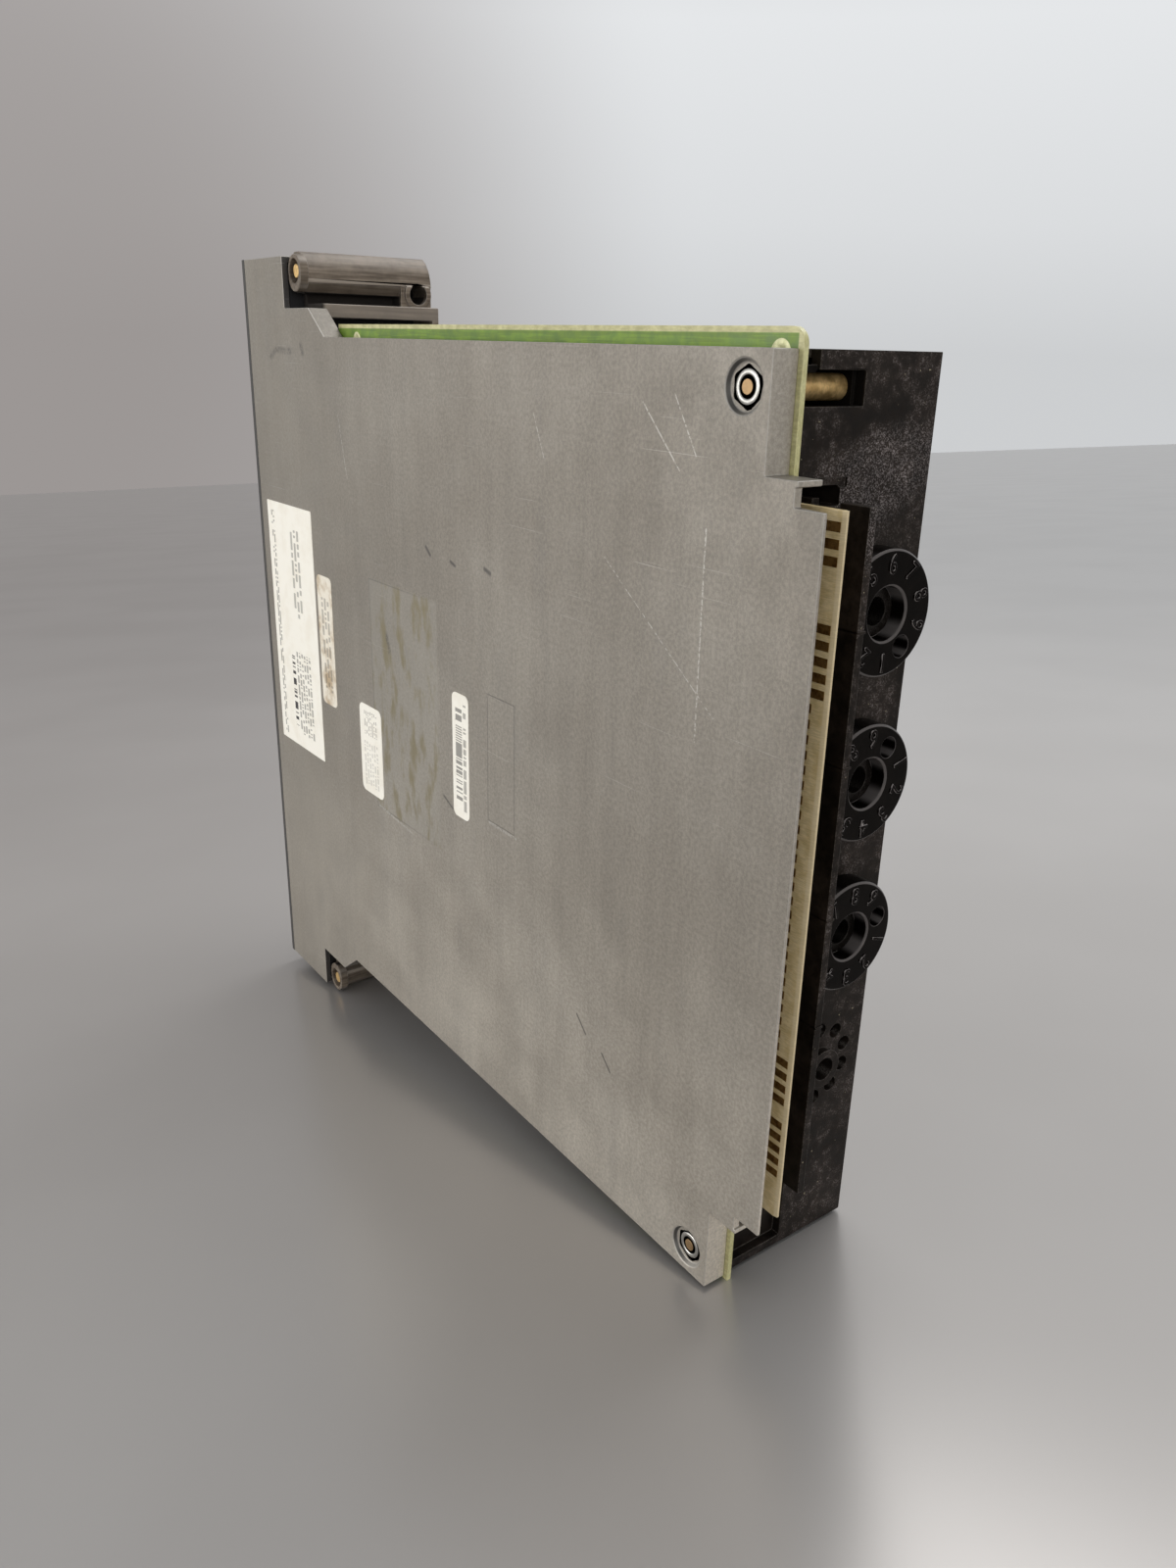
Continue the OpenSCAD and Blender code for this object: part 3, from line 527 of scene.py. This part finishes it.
def turned_brass():
    """Dull brass, with painted shade on the end of each stud deep in its nut, and a dark band round that
    end.
    """
    look = Look("brass", Metallic=0.8, Specular_IOR_Level=0.5)
    cloudy = look.noise(0.4, 4, 0.65)
    turned = look.noise(1.4, 3, 0.6, stretch=(3.0, 0.5, 0.5))
    colour = look.between(cloudy, (0.32, 0.66), (0.56, 0.36, 0.14), (0.86, 0.60, 0.27))
    colour = look.varied(colour, turned, (0.3, 0.7), (0.86, 1.1))
    # painted shade on the end of each stud, deep inside its nut
    shaded_stud_end = look.times(look.mapped(look.x, -2.8, -2.6), look.mapped(look.y, -100, -90))
    colour = look.over(colour, (0.24, 0.15, 0.09), shaded_stud_end, 0.75)
    # a dark band round the end of each stud
    colour = look.over(colour, (0.05, 0.042, 0.035), look.band(look.x, -2.6, -1.5, 0.1), 0.8)
    roughness = look.mapped(cloudy, 0.3, 0.7, 0.38, 0.52)
    return look.done(colour, roughness, look.times(turned, 0.04), 0.4)


def pad_tin():
    """Dull tin on the card's face, yellowed by the varnish over it."""
    look = Look("pad_tin", Metallic=0.25, Specular_IOR_Level=0.5)
    cloudy = look.noise(0.9, 3, 0.6)
    colour = look.between(cloudy, (0.35, 0.65), (0.52, 0.52, 0.27), (0.70, 0.69, 0.42))
    return look.done(colour, look.mapped(cloudy, 0.3, 0.7, 0.35, 0.5), look.times(cloudy, 0.05))


def painted_sheet():
    """Powder coat with a fine orange peel, rubbed in fine hairlines."""
    look = Look("painted_sheet", Specular_IOR_Level=0.5)
    peel = look.noise(0.9, 2, 0.5)
    cloudy = look.noise(0.02, 4, 0.6)
    colour = look.between(cloudy, (0.35, 0.65), (0.262, 0.257, 0.242), (0.29, 0.285, 0.27))
    colour = look.varied(colour, look.noise(3.0), (0.3, 0.7), (0.96, 1.04))
    rub = look.mapped(look.noise(1.0, 2, 0.5, stretch=(0.2, 0.03, 1.8), turn=0.6), 0.7, 0.75)
    colour = look.over(colour, (0.5, 0.49, 0.47), rub, 0.25)
    colour = look.over(colour, (0.55, 0.54, 0.52), look.edge_wear(), 0.4)
    return look.done(colour, look.mapped(cloudy, 0.3, 0.7, 0.42, 0.55), look.times(peel, 0.08))


def smoked_lens():
    look = Look("smoked_lens", Transmission_Weight=0.75, IOR=1.49)
    cloudy = look.noise(0.1, 3, 0.5)
    colour = look.between(cloudy, (0.3, 0.7), (0.16, 0.02, 0.02), (0.24, 0.035, 0.03))
    return look.done(colour, look.mapped(look.noise(1.5), 0.3, 0.7, 0.06, 0.14))


def tinted(name, dark, light, low_rough, high_rough):
    look = Look(name, Specular_IOR_Level=0.5)
    cloudy = look.noise(0.4, 3, 0.6)
    colour = look.between(cloudy, (0.35, 0.65), dark, light)
    height = look.times(look.noise(3.0), 0.03)
    return look.done(colour, look.mapped(cloudy, 0.3, 0.7, low_rough, high_rough), height)


PRINTED_SHARE = 0.58  # of the steps along a row
PRINTED_HEIGHT = 0.62  # of a row, the rest being the gap to the next one


def label(name, blocks, tint=(1.0, 0.965, 0.87), soil=(0.93, 0.885, 0.78)):
    """Stuck label with generic print. A block is (y range, z range, dash length, rows, ink):
    dashes run along z in rows across y, which reads as a bar code or as rows of small print."""
    look = Look(name, Specular_IOR_Level=0.45)
    soiled = look.noise(0.09, 4, 0.6)
    colour = look.between(soiled, (0.42, 0.68), tint, soil)
    for y, z, dash, rows, ink in blocks:
        along = look.math("DIVIDE", look.minus(look.y, y[0]), (y[1] - y[0]) / rows)
        step = look.node("CombineXYZ")
        look.feed(step.inputs[0], look.math("FLOOR", look.math("DIVIDE", look.z, dash)))
        look.feed(step.inputs[1], look.math("FLOOR", along))
        chance = look.node("TexWhiteNoise", noise_dimensions="2D")
        look.feed(chance.inputs["Vector"], step.outputs[0])
        printed = look.math("GREATER_THAN", chance.outputs["Value"], 1 - PRINTED_SHARE)
        if rows > 1:
            gaps = look.math("LESS_THAN", look.math("FRACT", along), PRINTED_HEIGHT)
            printed = look.times(printed, gaps)
        printed = look.times(printed, look.patch(y, z, 0.1))
        colour = look.over(colour, (0.05, 0.045, 0.045), printed, ink)
    height = look.times(look.noise(1.2), 0.03)
    return look.done(colour, look.mapped(soiled, 0.3, 0.7, 0.35, 0.5), height, 0.4)


def pale_floor():
    look = Look("floor_paint", Specular_IOR_Level=0.5, Metallic=0.35)
    cloudy = look.noise(0.004, 3, 0.5)
    colour = look.between(cloudy, (0.3, 0.7), (0.50, 0.475, 0.455), (0.54, 0.515, 0.495))
    return look.done(colour, 0.28)


LOOKS = {
    "cast_cover": cast_cover(),
    "board_green": card(),
    "contact_metal": contact_metal(),
    "black_plastic": dusty_black(),
    "gloss_black_plastic": gloss_black(),
    "brown_plastic": brown_moulding(),
    "front_plastic": textured_moulding(),
    "zinc_steel": plated("zinc_steel", (0.42, 0.42, 0.41), (0.62, 0.62, 0.60), 0.28, 0.42),
    "bright_zinc": plated("bright_zinc", (0.62, 0.62, 0.60), (0.82, 0.82, 0.81), 0.16, 0.28),
    "brass": turned_brass(),
    "painted_sheet": painted_sheet(),
    "smoked_lens": smoked_lens(),
    "lamp_red": tinted("lamp_red", (0.45, 0.02, 0.015), (0.6, 0.04, 0.03), 0.12, 0.25),
    "chip_plastic": tinted("chip_plastic", (0.016, 0.016, 0.017), (0.03, 0.03, 0.031), 0.45, 0.6),
    "capacitor_sleeve": tinted("capacitor_sleeve", (0.02, 0.06, 0.20), (0.04, 0.09, 0.28), 0.2, 0.35),
}
LABEL_LOOKS = {
    "main_label": label("main_label_print", [
        ((-303.5, -300.2), (92, 194), 0.9, 2, 0.7),
        ((-290.6, -287.4), (98.8, 132.6), 0.5, 1, 1.0),
        ((-285.5, -269.5), (96, 134), 0.7, 6, 0.6),
        ((-284.0, -274.0), (150, 188), 1.1, 3, 0.5),
    ]),
    "strip_label": label("strip_label_print", [
        ((-255.0, -246.6), (124, 164), 1.0, 3, 0.45),
    ], tint=(0.90, 0.84, 0.72), soil=(0.50, 0.38, 0.24)),
    "small_label": label("small_label_print", [
        ((-218.5, -207.0), (114.6, 124.8), 0.5, 7, 0.42),
        ((-219.5, -206.5), (92.5, 111.5), 0.6, 6, 0.28),
    ]),
    "barcode_label": label("barcode_label_print", [
        ((-144.2, -139.9), (109.4, 144.9), 0.45, 1, 0.7),
        ((-139.0, -137.1), (106.4, 148.6), 0.7, 1, 0.55),
    ]),
}


# ---------------------------------------------------------------- pieces


def material_of(node):
    slots = {part["node"]: part["material_slot"] for part in frame["record"]["subparts"]}
    return slots[node], LABEL_LOOKS.get(node) or LOOKS[slots[node]]


def body_of(node):
    for body, members in frame["record"]["behaviour"]["bodies"].items():
        if node in members:
            return body


def piece(name, mesh, look, body):
    mesh.materials.clear()
    mesh.materials.append(look)
    made = bpy.data.objects.new(name, mesh)
    bpy.context.scene.collection.objects.link(made)
    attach(made, body)
    return made


def from_bmesh(name, shape):
    mesh = bpy.data.meshes.new(name)
    shape.normal_update()
    shape.to_mesh(mesh)
    shape.free()
    for spare in ("custom_normal", "sharp_edge", "sharp_face"):
        if spare in mesh.attributes:
            mesh.attributes.remove(mesh.attributes[spare])
    return mesh


def applied(made):
    """Replaces the piece's mesh by what its modifiers make of it."""
    bpy.context.view_layer.update()
    graph = bpy.context.evaluated_depsgraph_get()
    final = bpy.data.meshes.new_from_object(made.evaluated_get(graph))
    made.modifiers.clear()
    old, made.data = made.data, final
    bpy.data.meshes.remove(old)
    return made


WELD = 0.002 * MM  # corners nearer than this are one
LARGEST_OUTLINE = 40  # corners; longer outlines are not always filled rightly
FLAT_ANGLE, SHADED_ANGLE, ROUNDED_ANGLE, NUT_ANGLE, PAD_ANGLE = (
    math.radians(part) for part in (0.6, 35, 32, 25, 30))


def merge_flat_faces(shape):
    """Joins flat neighbours into simple outlines. A face never closes round a hole."""
    shape.normal_update()
    for edge in list(shape.edges):
        if not edge.is_valid or len(edge.link_faces) != 2:
            continue
        first, second = edge.link_faces
        if first is second or first.normal.angle(second.normal, math.pi) > FLAT_ANGLE:
            continue
        if len(first.verts) + len(second.verts) > LARGEST_OUTLINE:
            continue
        shared_edges = set(first.edges) & set(second.edges)
        shared_corners = set(first.verts) & set(second.verts)
        if len(shared_corners) == len(shared_edges) + 1:
            grown = bmesh.utils.face_join((first, second), True)
            if grown:
                grown.normal_update()


def refined(node, width, merged=True):
    """Stands for a CAD node with the same shape, its sharp edges rounded by a width in mm."""
    shape = bmesh.new()
    shape.from_mesh(frame["nodes"][node].data)
    bmesh.ops.remove_doubles(shape, verts=shape.verts, dist=WELD)
    if merged:
        merge_flat_faces(shape)
    slot, look = material_of(node)
    made = piece(node + "_shown", from_bmesh(node + "_shown", shape), look, body_of(node))
    made.data.shade_smooth()
    made.data.set_sharp_from_angle(angle=SHADED_ANGLE)
    if width:
        rounding = made.modifiers.new("rounding", "BEVEL")
        rounding.width = width * MM
        rounding.segments = 2
        rounding.limit_method = "ANGLE"
        rounding.angle_limit = ROUNDED_ANGLE
        rounding.harden_normals = True
        rounding.use_clamp_overlap = node not in FREE_ROUNDING
        rounding.miter_outer = "MITER_ARC"
        applied(made)
    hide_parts(node)
    return made


# nodes where short edges would otherwise shrink the rounding of every edge
FREE_ROUNDING = ("side_cover", "rear_plate", "upper_fixing_block", "lower_fixing_block")
ROUNDED = {
    "side_cover": 0.35, "rear_plate": 0.3, "upper_fixing_block": 0.45, "lower_fixing_block": 0.45,
    "code_disc_1": 0.22, "code_disc_2": 0.22, "code_disc_3": 0.22, "front_body": 0.5,
    "status_lens": 0.3, "connector_shells": 0.25, "jack_posts": 0.15,
    "upper_fixing_screw": 0.2, "lower_fixing_screw": 0.2, "far_cover_screws": 0.1,
    "main_board": 0.12, "rear_pillars": 0.2, "front_rods": 0.3,
    "capacitors": 0.5, "crystal_can": 0.4, "board_header": 0.3,
    "processor_chips": 0.25, "logic_chips": 0.25, "daughter_board": 0.12, "lamp_board": 0.12,
    "inner_standoffs": 0.2, "outer_standoffs": 0.15, "pillar_screws": 0.15, "status_lamps": 0.1,
}
for node, width in ROUNDED.items():
    refined(node, width)


def flatten_normals(mesh):
    """Gives exact normals to the faces that are square to an axis."""
    normals = [corner.vector.copy() for corner in mesh.corner_normals]
    for face in mesh.polygons:
        corners = [mesh.vertices[index].co for index in face.vertices]
        for axis in range(3):
            places = [corner[axis] for corner in corners]
            if max(places) - min(places) < WELD / 2:
                exact = Vector((0, 0, 0))
                exact[axis] = math.copysign(1, face.normal[axis])
                for index in face.loop_indices:
                    normals[index] = exact
    mesh.normals_split_custom_set(normals)


flatten_normals(refined("far_cover", 0.15, merged=False).data)

for node, shown in frame["nodes"].items():
    if not shown.hide_render:
        slot, look = material_of(node)
        shown.data.materials.clear()
        shown.data.materials.append(look)


def hex_nut(x_low, x_high, across_flats, bore, y, z):
    """A chamfered hexagon nut whose axis lies along x."""
    shape = bmesh.new()
    turns = 96
    chamfer = across_flats * 0.475  # radius at which the chamfer starts
    rise = math.tan(math.radians(30))
    edge_depth = 0.1  # of the chamfer's start below the end face

    def ring(radius_at, x_at):
        made = []
        for k in range(turns):
            angle = 2 * math.pi * k / turns
            radius = radius_at(angle)
            point = at(x_at(radius), y + radius * math.cos(angle), z + radius * math.sin(angle))
            made.append(shape.verts.new(point))
        return made

    def hexagon(angle):
        sixth = math.pi / 3
        return across_flats / 2 / math.cos((angle + sixth / 2) % sixth - sixth / 2)

    def eased(face, way):
        return lambda radius: face - way * max(0.0, radius - chamfer) * rise

    # each end face is a crown, lowest at the bore: (distance out from the bore, depth)
    crown = ((0.0, 0.45), (0.15, 0.24), (0.35, 0.08), (0.62, 0.0), (0.95, 0.02))

    def flat_ring(out, place):
        return ring(lambda angle: bore + out, lambda radius: place)

    rings = [flat_ring(out, x_low + depth) for out, depth in crown]
    rings.append(ring(lambda angle: chamfer, lambda radius: x_low + edge_depth))
    rings.append(ring(hexagon, eased(x_low + edge_depth, -1)))
    rings.append(ring(hexagon, eased(x_high - edge_depth, 1)))
    rings.append(ring(lambda angle: chamfer, lambda radius: x_high - edge_depth))
    rings += [flat_ring(out, x_high - depth) for out, depth in reversed(crown)]
    for inner, outer in zip(rings, rings[1:] + rings[:1]):
        for k in range(turns):
            after = (k + 1) % turns
            shape.faces.new((inner[k], inner[after], outer[after], outer[k]))
    bmesh.ops.recalc_face_normals(shape, faces=shape.faces)
    return shape


def joined(shapes):
    """One bmesh that holds all the given ones."""
    whole = bmesh.new()
    for shape in shapes:
        spare = bpy.data.meshes.new("spare")
        shape.to_mesh(spare)
        shape.free()
        whole.from_mesh(spare)
        bpy.data.meshes.remove(spare)
    return whole


NUT_FLATS = 8.0
STUD_RADIUS = 2.5
THREAD_GAP = 0.02
nut_low, nut_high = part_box("cover_nuts")
nut_x = ((nut_low.x - DATUM.x) / MM, (nut_high.x - DATUM.x) / MM)
stud_y = ((nut_low.y + nut_high.y) / 2 - DATUM.y) / MM
nut_corner = NUT_FLATS / 2 / math.cos(math.pi / 6)
stud_heights = [(nut_low.z - DATUM.z) / MM + nut_corner, (nut_high.z - DATUM.z) / MM - nut_corner]
nut_mesh = from_bmesh("cover_nuts_shown", joined([
    hex_nut(*nut_x, NUT_FLATS, STUD_RADIUS + THREAD_GAP, stud_y, height) for height in stud_heights]))
nut_look = plated("nut_zinc", (0.44, 0.43, 0.40), (0.60, 0.585, 0.55), 0.34, 0.46)
nuts = piece("cover_nuts_shown", nut_mesh, nut_look, "chassis")
nuts.data.shade_smooth()
nuts.data.set_sharp_from_angle(angle=NUT_ANGLE)
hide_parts("cover_nuts")


# Raised figures on the code discs. The pin hole stands where the 0 would be.
FIGURE_TALL = 5.2
FIGURE_RADIUS = 12.6
FIGURE_RAISE = 0.5
FIGURE_ROUNDING = 0.12
FIGURE_WIDTH = 0.82  # of the built-in font's own width
BUILT_IN_FONT_RATIO = 0.73  # a figure's height over the font size


def figure_shape(digit, centre, angle, face_y):
    text = bpy.data.curves.new("figure", "FONT")
    text.body = str(digit)
    text.size = FIGURE_TALL / BUILT_IN_FONT_RATIO * MM
    text.extrude = FIGURE_RAISE / 2 * MM
    text.bevel_depth = FIGURE_ROUNDING * MM
    text.bevel_resolution = 2
    text.align_x = "CENTER"
    text.align_y = "CENTER"
    holder = bpy.data.objects.new("figure", text)
    bpy.context.scene.collection.objects.link(holder)
    bpy.context.view_layer.update()
    graph = bpy.context.evaluated_depsgraph_get()
    mesh = bpy.data.meshes.new_from_object(holder.evaluated_get(graph))
    right = Vector((-math.cos(angle), 0, -math.sin(angle)))
    outward = Vector((-math.sin(angle), 0, math.cos(angle)))
    rear = Vector((0, 1, 0))
    middle = centre + outward * FIGURE_RADIUS * MM
    middle.y = face_y
    turn = Matrix((right * FIGURE_WIDTH, outward, rear)).transposed().to_4x4()
    mesh.transform(Matrix.Translation(middle) @ turn)
    shape = bmesh.new()
    shape.from_mesh(mesh)
    bmesh.ops.remove_doubles(shape, verts=shape.verts, dist=WELD)
    bpy.data.objects.remove(holder)
    bpy.data.meshes.remove(mesh)
    bpy.data.curves.remove(text)
    return shape


# the figures get a strong painted highlight along their rounded edges
figure_look = gloss_black("figure_plastic", 0.8)
for k, rest_step in enumerate(DISC_REST):
    low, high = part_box(f"code_disc_{k + 1}")
    centre = (low + high) / 2
    hole = 2 * math.pi * rest_step / CODE_STEPS
    figures = [
        figure_shape(digit, centre, hole + 2 * math.pi * digit / CODE_STEPS, high.y)
        for digit in range(1, CODE_STEPS)]
    mesh = from_bmesh(f"disc_{k + 1}_figures", joined(figures))
    piece(mesh.name, mesh, figure_look, f"disc_{k + 1}")


def boxes(places):
    """One bmesh of small boxes, each given by its two corners in datum millimetres."""
    shape = bmesh.new()
    for low, high in places:
        low, high = at(*low), at(*high)
        middle, size = (low + high) / 2, high - low
        turn = Matrix.Translation(middle) @ Matrix.Diagonal((*size, 1))
        bmesh.ops.create_cube(shape, size=1, matrix=turn)
    return shape


# mould ticks along the rib beside the slot
RIB_X = (-23.9, -21.4)
RIB_Y = 14.0
TICK_HEIGHTS = (201, 166, 123, 90)
TICK_HALF, TICK_RAISE, TICK_DEPTH, TICK_ROUNDING = 0.35, 0.25, 7, 0.12
ticks = boxes([
    ((RIB_X[0] - TICK_RAISE, RIB_Y - TICK_DEPTH, z - TICK_HALF),
     (RIB_X[1], RIB_Y + TICK_RAISE, z + TICK_HALF))
    for z in TICK_HEIGHTS])
rib_ticks = piece("rib_ticks", from_bmesh("rib_ticks", ticks), LOOKS["black_plastic"],
                  "chassis")
tick_round = rib_ticks.modifiers.new("rounding", "BEVEL")
tick_round.width = TICK_ROUNDING * MM
tick_round.segments = 2
applied(rib_ticks)


CARD_FACE_X = -8.1  # of the face towards the cover


def pad(y, z, radius):
    """A tinned ring on the card's face, with its hole filled."""
    shape = bmesh.new()
    # from the filled hole outwards: (share of the radius, height over the card's face)
    profile = ((0.45, 0.05), (0.5, 0.12), (0.92, 0.1), (1, 0.02), (1, -0.05))
    turns = 48
    rings = []
    for share, rise in profile:
        out = radius * share
        rings.append([
            shape.verts.new(at(CARD_FACE_X + rise, y + out * math.cos(2 * math.pi * k / turns),
                               z + out * math.sin(2 * math.pi * k / turns)))
            for k in range(turns)])
    shape.faces.new(rings[0])
    shape.faces.new(rings[-1][::-1])
    for inner, outer in zip(rings, rings[1:]):
        for k in range(turns):
            after = (k + 1) % turns
            shape.faces.new((inner[k], outer[k], outer[after], inner[after]))
    bmesh.ops.recalc_face_normals(shape, faces=shape.faces)
    return shape


rear_pad, front_pad = pad(-5.9, 264.0, radius=3.3), pad(-227.4, 264.3, radius=3.0)
pads = piece("card_pads", from_bmesh("card_pads", joined([rear_pad, front_pad])), pad_tin(),
             "chassis")
pads.data.shade_smooth()
pads.data.set_sharp_from_angle(angle=PAD_ANGLE)


# The 25 sockets of each serial connector, bored into the insert.
PORT_X = -30.0
PORT_HEIGHTS = (92.0, 166.0)
PIN_PITCH = 2.77
ROW_OFFSET = 1.42  # of each row of sockets from the middle of its insert
ROW_COUNTS = ((-1, 13), (1, 12))  # side of each row, and its sockets
SOCKET_RADIUS = 0.55
CUTTER_LENGTH, CUTTER_INSET = 5, 1.0
insert_front = (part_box("connector_inserts")[0].y - DATUM.y) / MM


def bore_cutters():
    shape = bmesh.new()
    for height in PORT_HEIGHTS:
        for side, count in ROW_COUNTS:
            for i in range(count):
                z = height + (i - (count - 1) / 2) * PIN_PITCH
                place = at(PORT_X + side * ROW_OFFSET, insert_front + CUTTER_INSET, z)
                turn = Matrix.Translation(place) @ Matrix.Rotation(math.pi / 2, 4, "X")
                bmesh.ops.create_cone(
                    shape, cap_ends=True, segments=20, radius1=SOCKET_RADIUS * MM,
                    radius2=SOCKET_RADIUS * MM, depth=CUTTER_LENGTH * MM, matrix=turn)
    return shape


insert = refined("connector_inserts", 0)
cutter = bpy.data.objects.new("cutter", from_bmesh("cutter", bore_cutters()))
bpy.context.scene.collection.objects.link(cutter)
cut = insert.modifiers.new("sockets", "BOOLEAN")
cut.operation = "DIFFERENCE"
cut.solver = "EXACT"
cut.object = cutter
applied(insert)
bpy.data.objects.remove(cutter)


# ---------------------------------------------------------------- floor, light and camera

# The module leans back: it stands on the lower fixing block and on the card's rear corner.
BLOCK_REST_Y = -270.5
CARD_CORNER_Y = 1.4
front_rest = Vector((0, at(0, BLOCK_REST_Y, 0).y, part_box("lower_fixing_block")[0].z))
rear_rest = Vector((0, at(0, CARD_CORNER_Y, 0).y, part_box("main_board")[0].z))
slope = math.atan2(rear_rest.z - front_rest.z, rear_rest.y - front_rest.y)
FLOOR_HALF = 30.0
floor_shape = bmesh.new()
floor_turn = Matrix.Translation(front_rest) @ Matrix.Rotation(slope, 4, "X")
bmesh.ops.create_grid(floor_shape, x_segments=8, y_segments=8, size=FLOOR_HALF, matrix=floor_turn)
floor = bpy.data.objects.new("floor", from_bmesh("floor", floor_shape))
bpy.context.scene.collection.objects.link(floor)
floor.data.materials.append(pale_floor())


SKY = ((0.0, 0.62), (0.09, 0.72), (0.22, 0.80), (0.42, 0.56), (0.85, 0.42))  # (height, grey)
SKY_TINT = 0.02  # how much bluer than grey
DIM_SIDE = (-0.12, -0.99, 0.0)  # beyond the module's front panel
DIM_START, DIM_END = 0.82, 0.99  # cosines of the angle from that side
DIM_SHARE = 0.75
DIM_COLOUR = (0.24, 0.205, 0.19, 1)


def studio_world():
    """Soft white surroundings, brightest a little above eye level, dimmer overhead and warmer and
    dimmer beyond the module's front panel."""
    made = bpy.data.worlds.new("studio")
    made.use_nodes = True
    tree = made.node_tree
    direction = tree.nodes.new("ShaderNodeTexCoord").outputs["Generated"]
    split = tree.nodes.new("ShaderNodeSeparateXYZ")
    tree.links.new(direction, split.inputs[0])
    ramp = tree.nodes.new("ShaderNodeValToRGB")
    tree.links.new(split.outputs[2], ramp.inputs[0])
    while len(ramp.color_ramp.elements) < len(SKY):
        ramp.color_ramp.elements.new(0.5)
    for element, (height, grey) in zip(ramp.color_ramp.elements, SKY):
        element.position = height
        element.color = (grey * (1 - SKY_TINT), grey, grey * (1 + SKY_TINT), 1)
    towards = tree.nodes.new("ShaderNodeVectorMath")
    towards.operation = "DOT_PRODUCT"
    tree.links.new(direction, towards.inputs[0])
    towards.inputs[1].default_value = DIM_SIDE
    dim = tree.nodes.new("ShaderNodeMapRange")
    dim.interpolation_type = "SMOOTHSTEP"
    for socket, value in zip(dim.inputs[1:], (DIM_START, DIM_END, 0.0, DIM_SHARE)):
        socket.default_value = value
    tree.links.new(towards.outputs["Value"], dim.inputs[0])
    mixed = tree.nodes.new("ShaderNodeMix")
    mixed.data_type = "RGBA"
    mixed.inputs[7].default_value = DIM_COLOUR
    tree.links.new(dim.outputs[0], mixed.inputs[0])
    tree.links.new(ramp.outputs[0], mixed.inputs[6])
    tree.links.new(mixed.outputs[2], tree.nodes["Background"].inputs["Color"])
    return made


bpy.context.scene.world = studio_world()
bpy.context.scene.view_settings.view_transform = "Standard"

TARGET = (cad_low + cad_high) / 2


def soft_light(name, place, size, power, colour=(1, 1, 1)):
    data = bpy.data.lights.new(name, "AREA")
    data.shape = "SQUARE"
    data.size = size
    data.energy = power
    data.color = colour
    made = bpy.data.objects.new(name, data)
    bpy.context.scene.collection.objects.link(made)
    made.location = place
    made.rotation_euler = (TARGET - Vector(place)).to_track_quat("-Z", "Y").to_euler()
    return made


# the low fill lights leave the floor out, so that no bright patch shows beside them
spared = bpy.data.collections.new("spared_by_fills")
spared.objects.link(floor)
spared.collection_objects[0].light_linking.link_state = "EXCLUDE"

# places and sizes in metres, power in watts
WARM = (1.0, 0.985, 0.96)
soft_light("key", place=(-0.45, -0.1, 1.2), size=0.9, power=8.0)
fills = (
    soft_light("rear_fill", place=(0.4, 1.65, 0.30), size=1.2, power=13.0, colour=WARM),
    soft_light("side_fill", place=(1.7, -0.6, 0.12), size=1.2, power=26.0, colour=WARM),
)
for fill in fills:
    fill.light_linking.receiver_collection = spared

CAMERA_PLACE = (0.22488, 0.34914, 0.29589)
CAMERA_TURN = (69.344, -1.340, 144.024)  # degrees
CAMERA_LENS = 26.77  # mm, for the sensor below
camera_data = bpy.data.cameras.new("camera")
camera_data.lens = CAMERA_LENS
camera_data.sensor_width = 36.0
camera_data.clip_start = 0.01
camera_data.clip_end = 200.0
camera = bpy.data.objects.new("camera", camera_data)
bpy.context.scene.collection.objects.link(camera)
camera.location = CAMERA_PLACE
camera.rotation_euler = [math.radians(part) for part in CAMERA_TURN]
bpy.context.scene.camera = camera
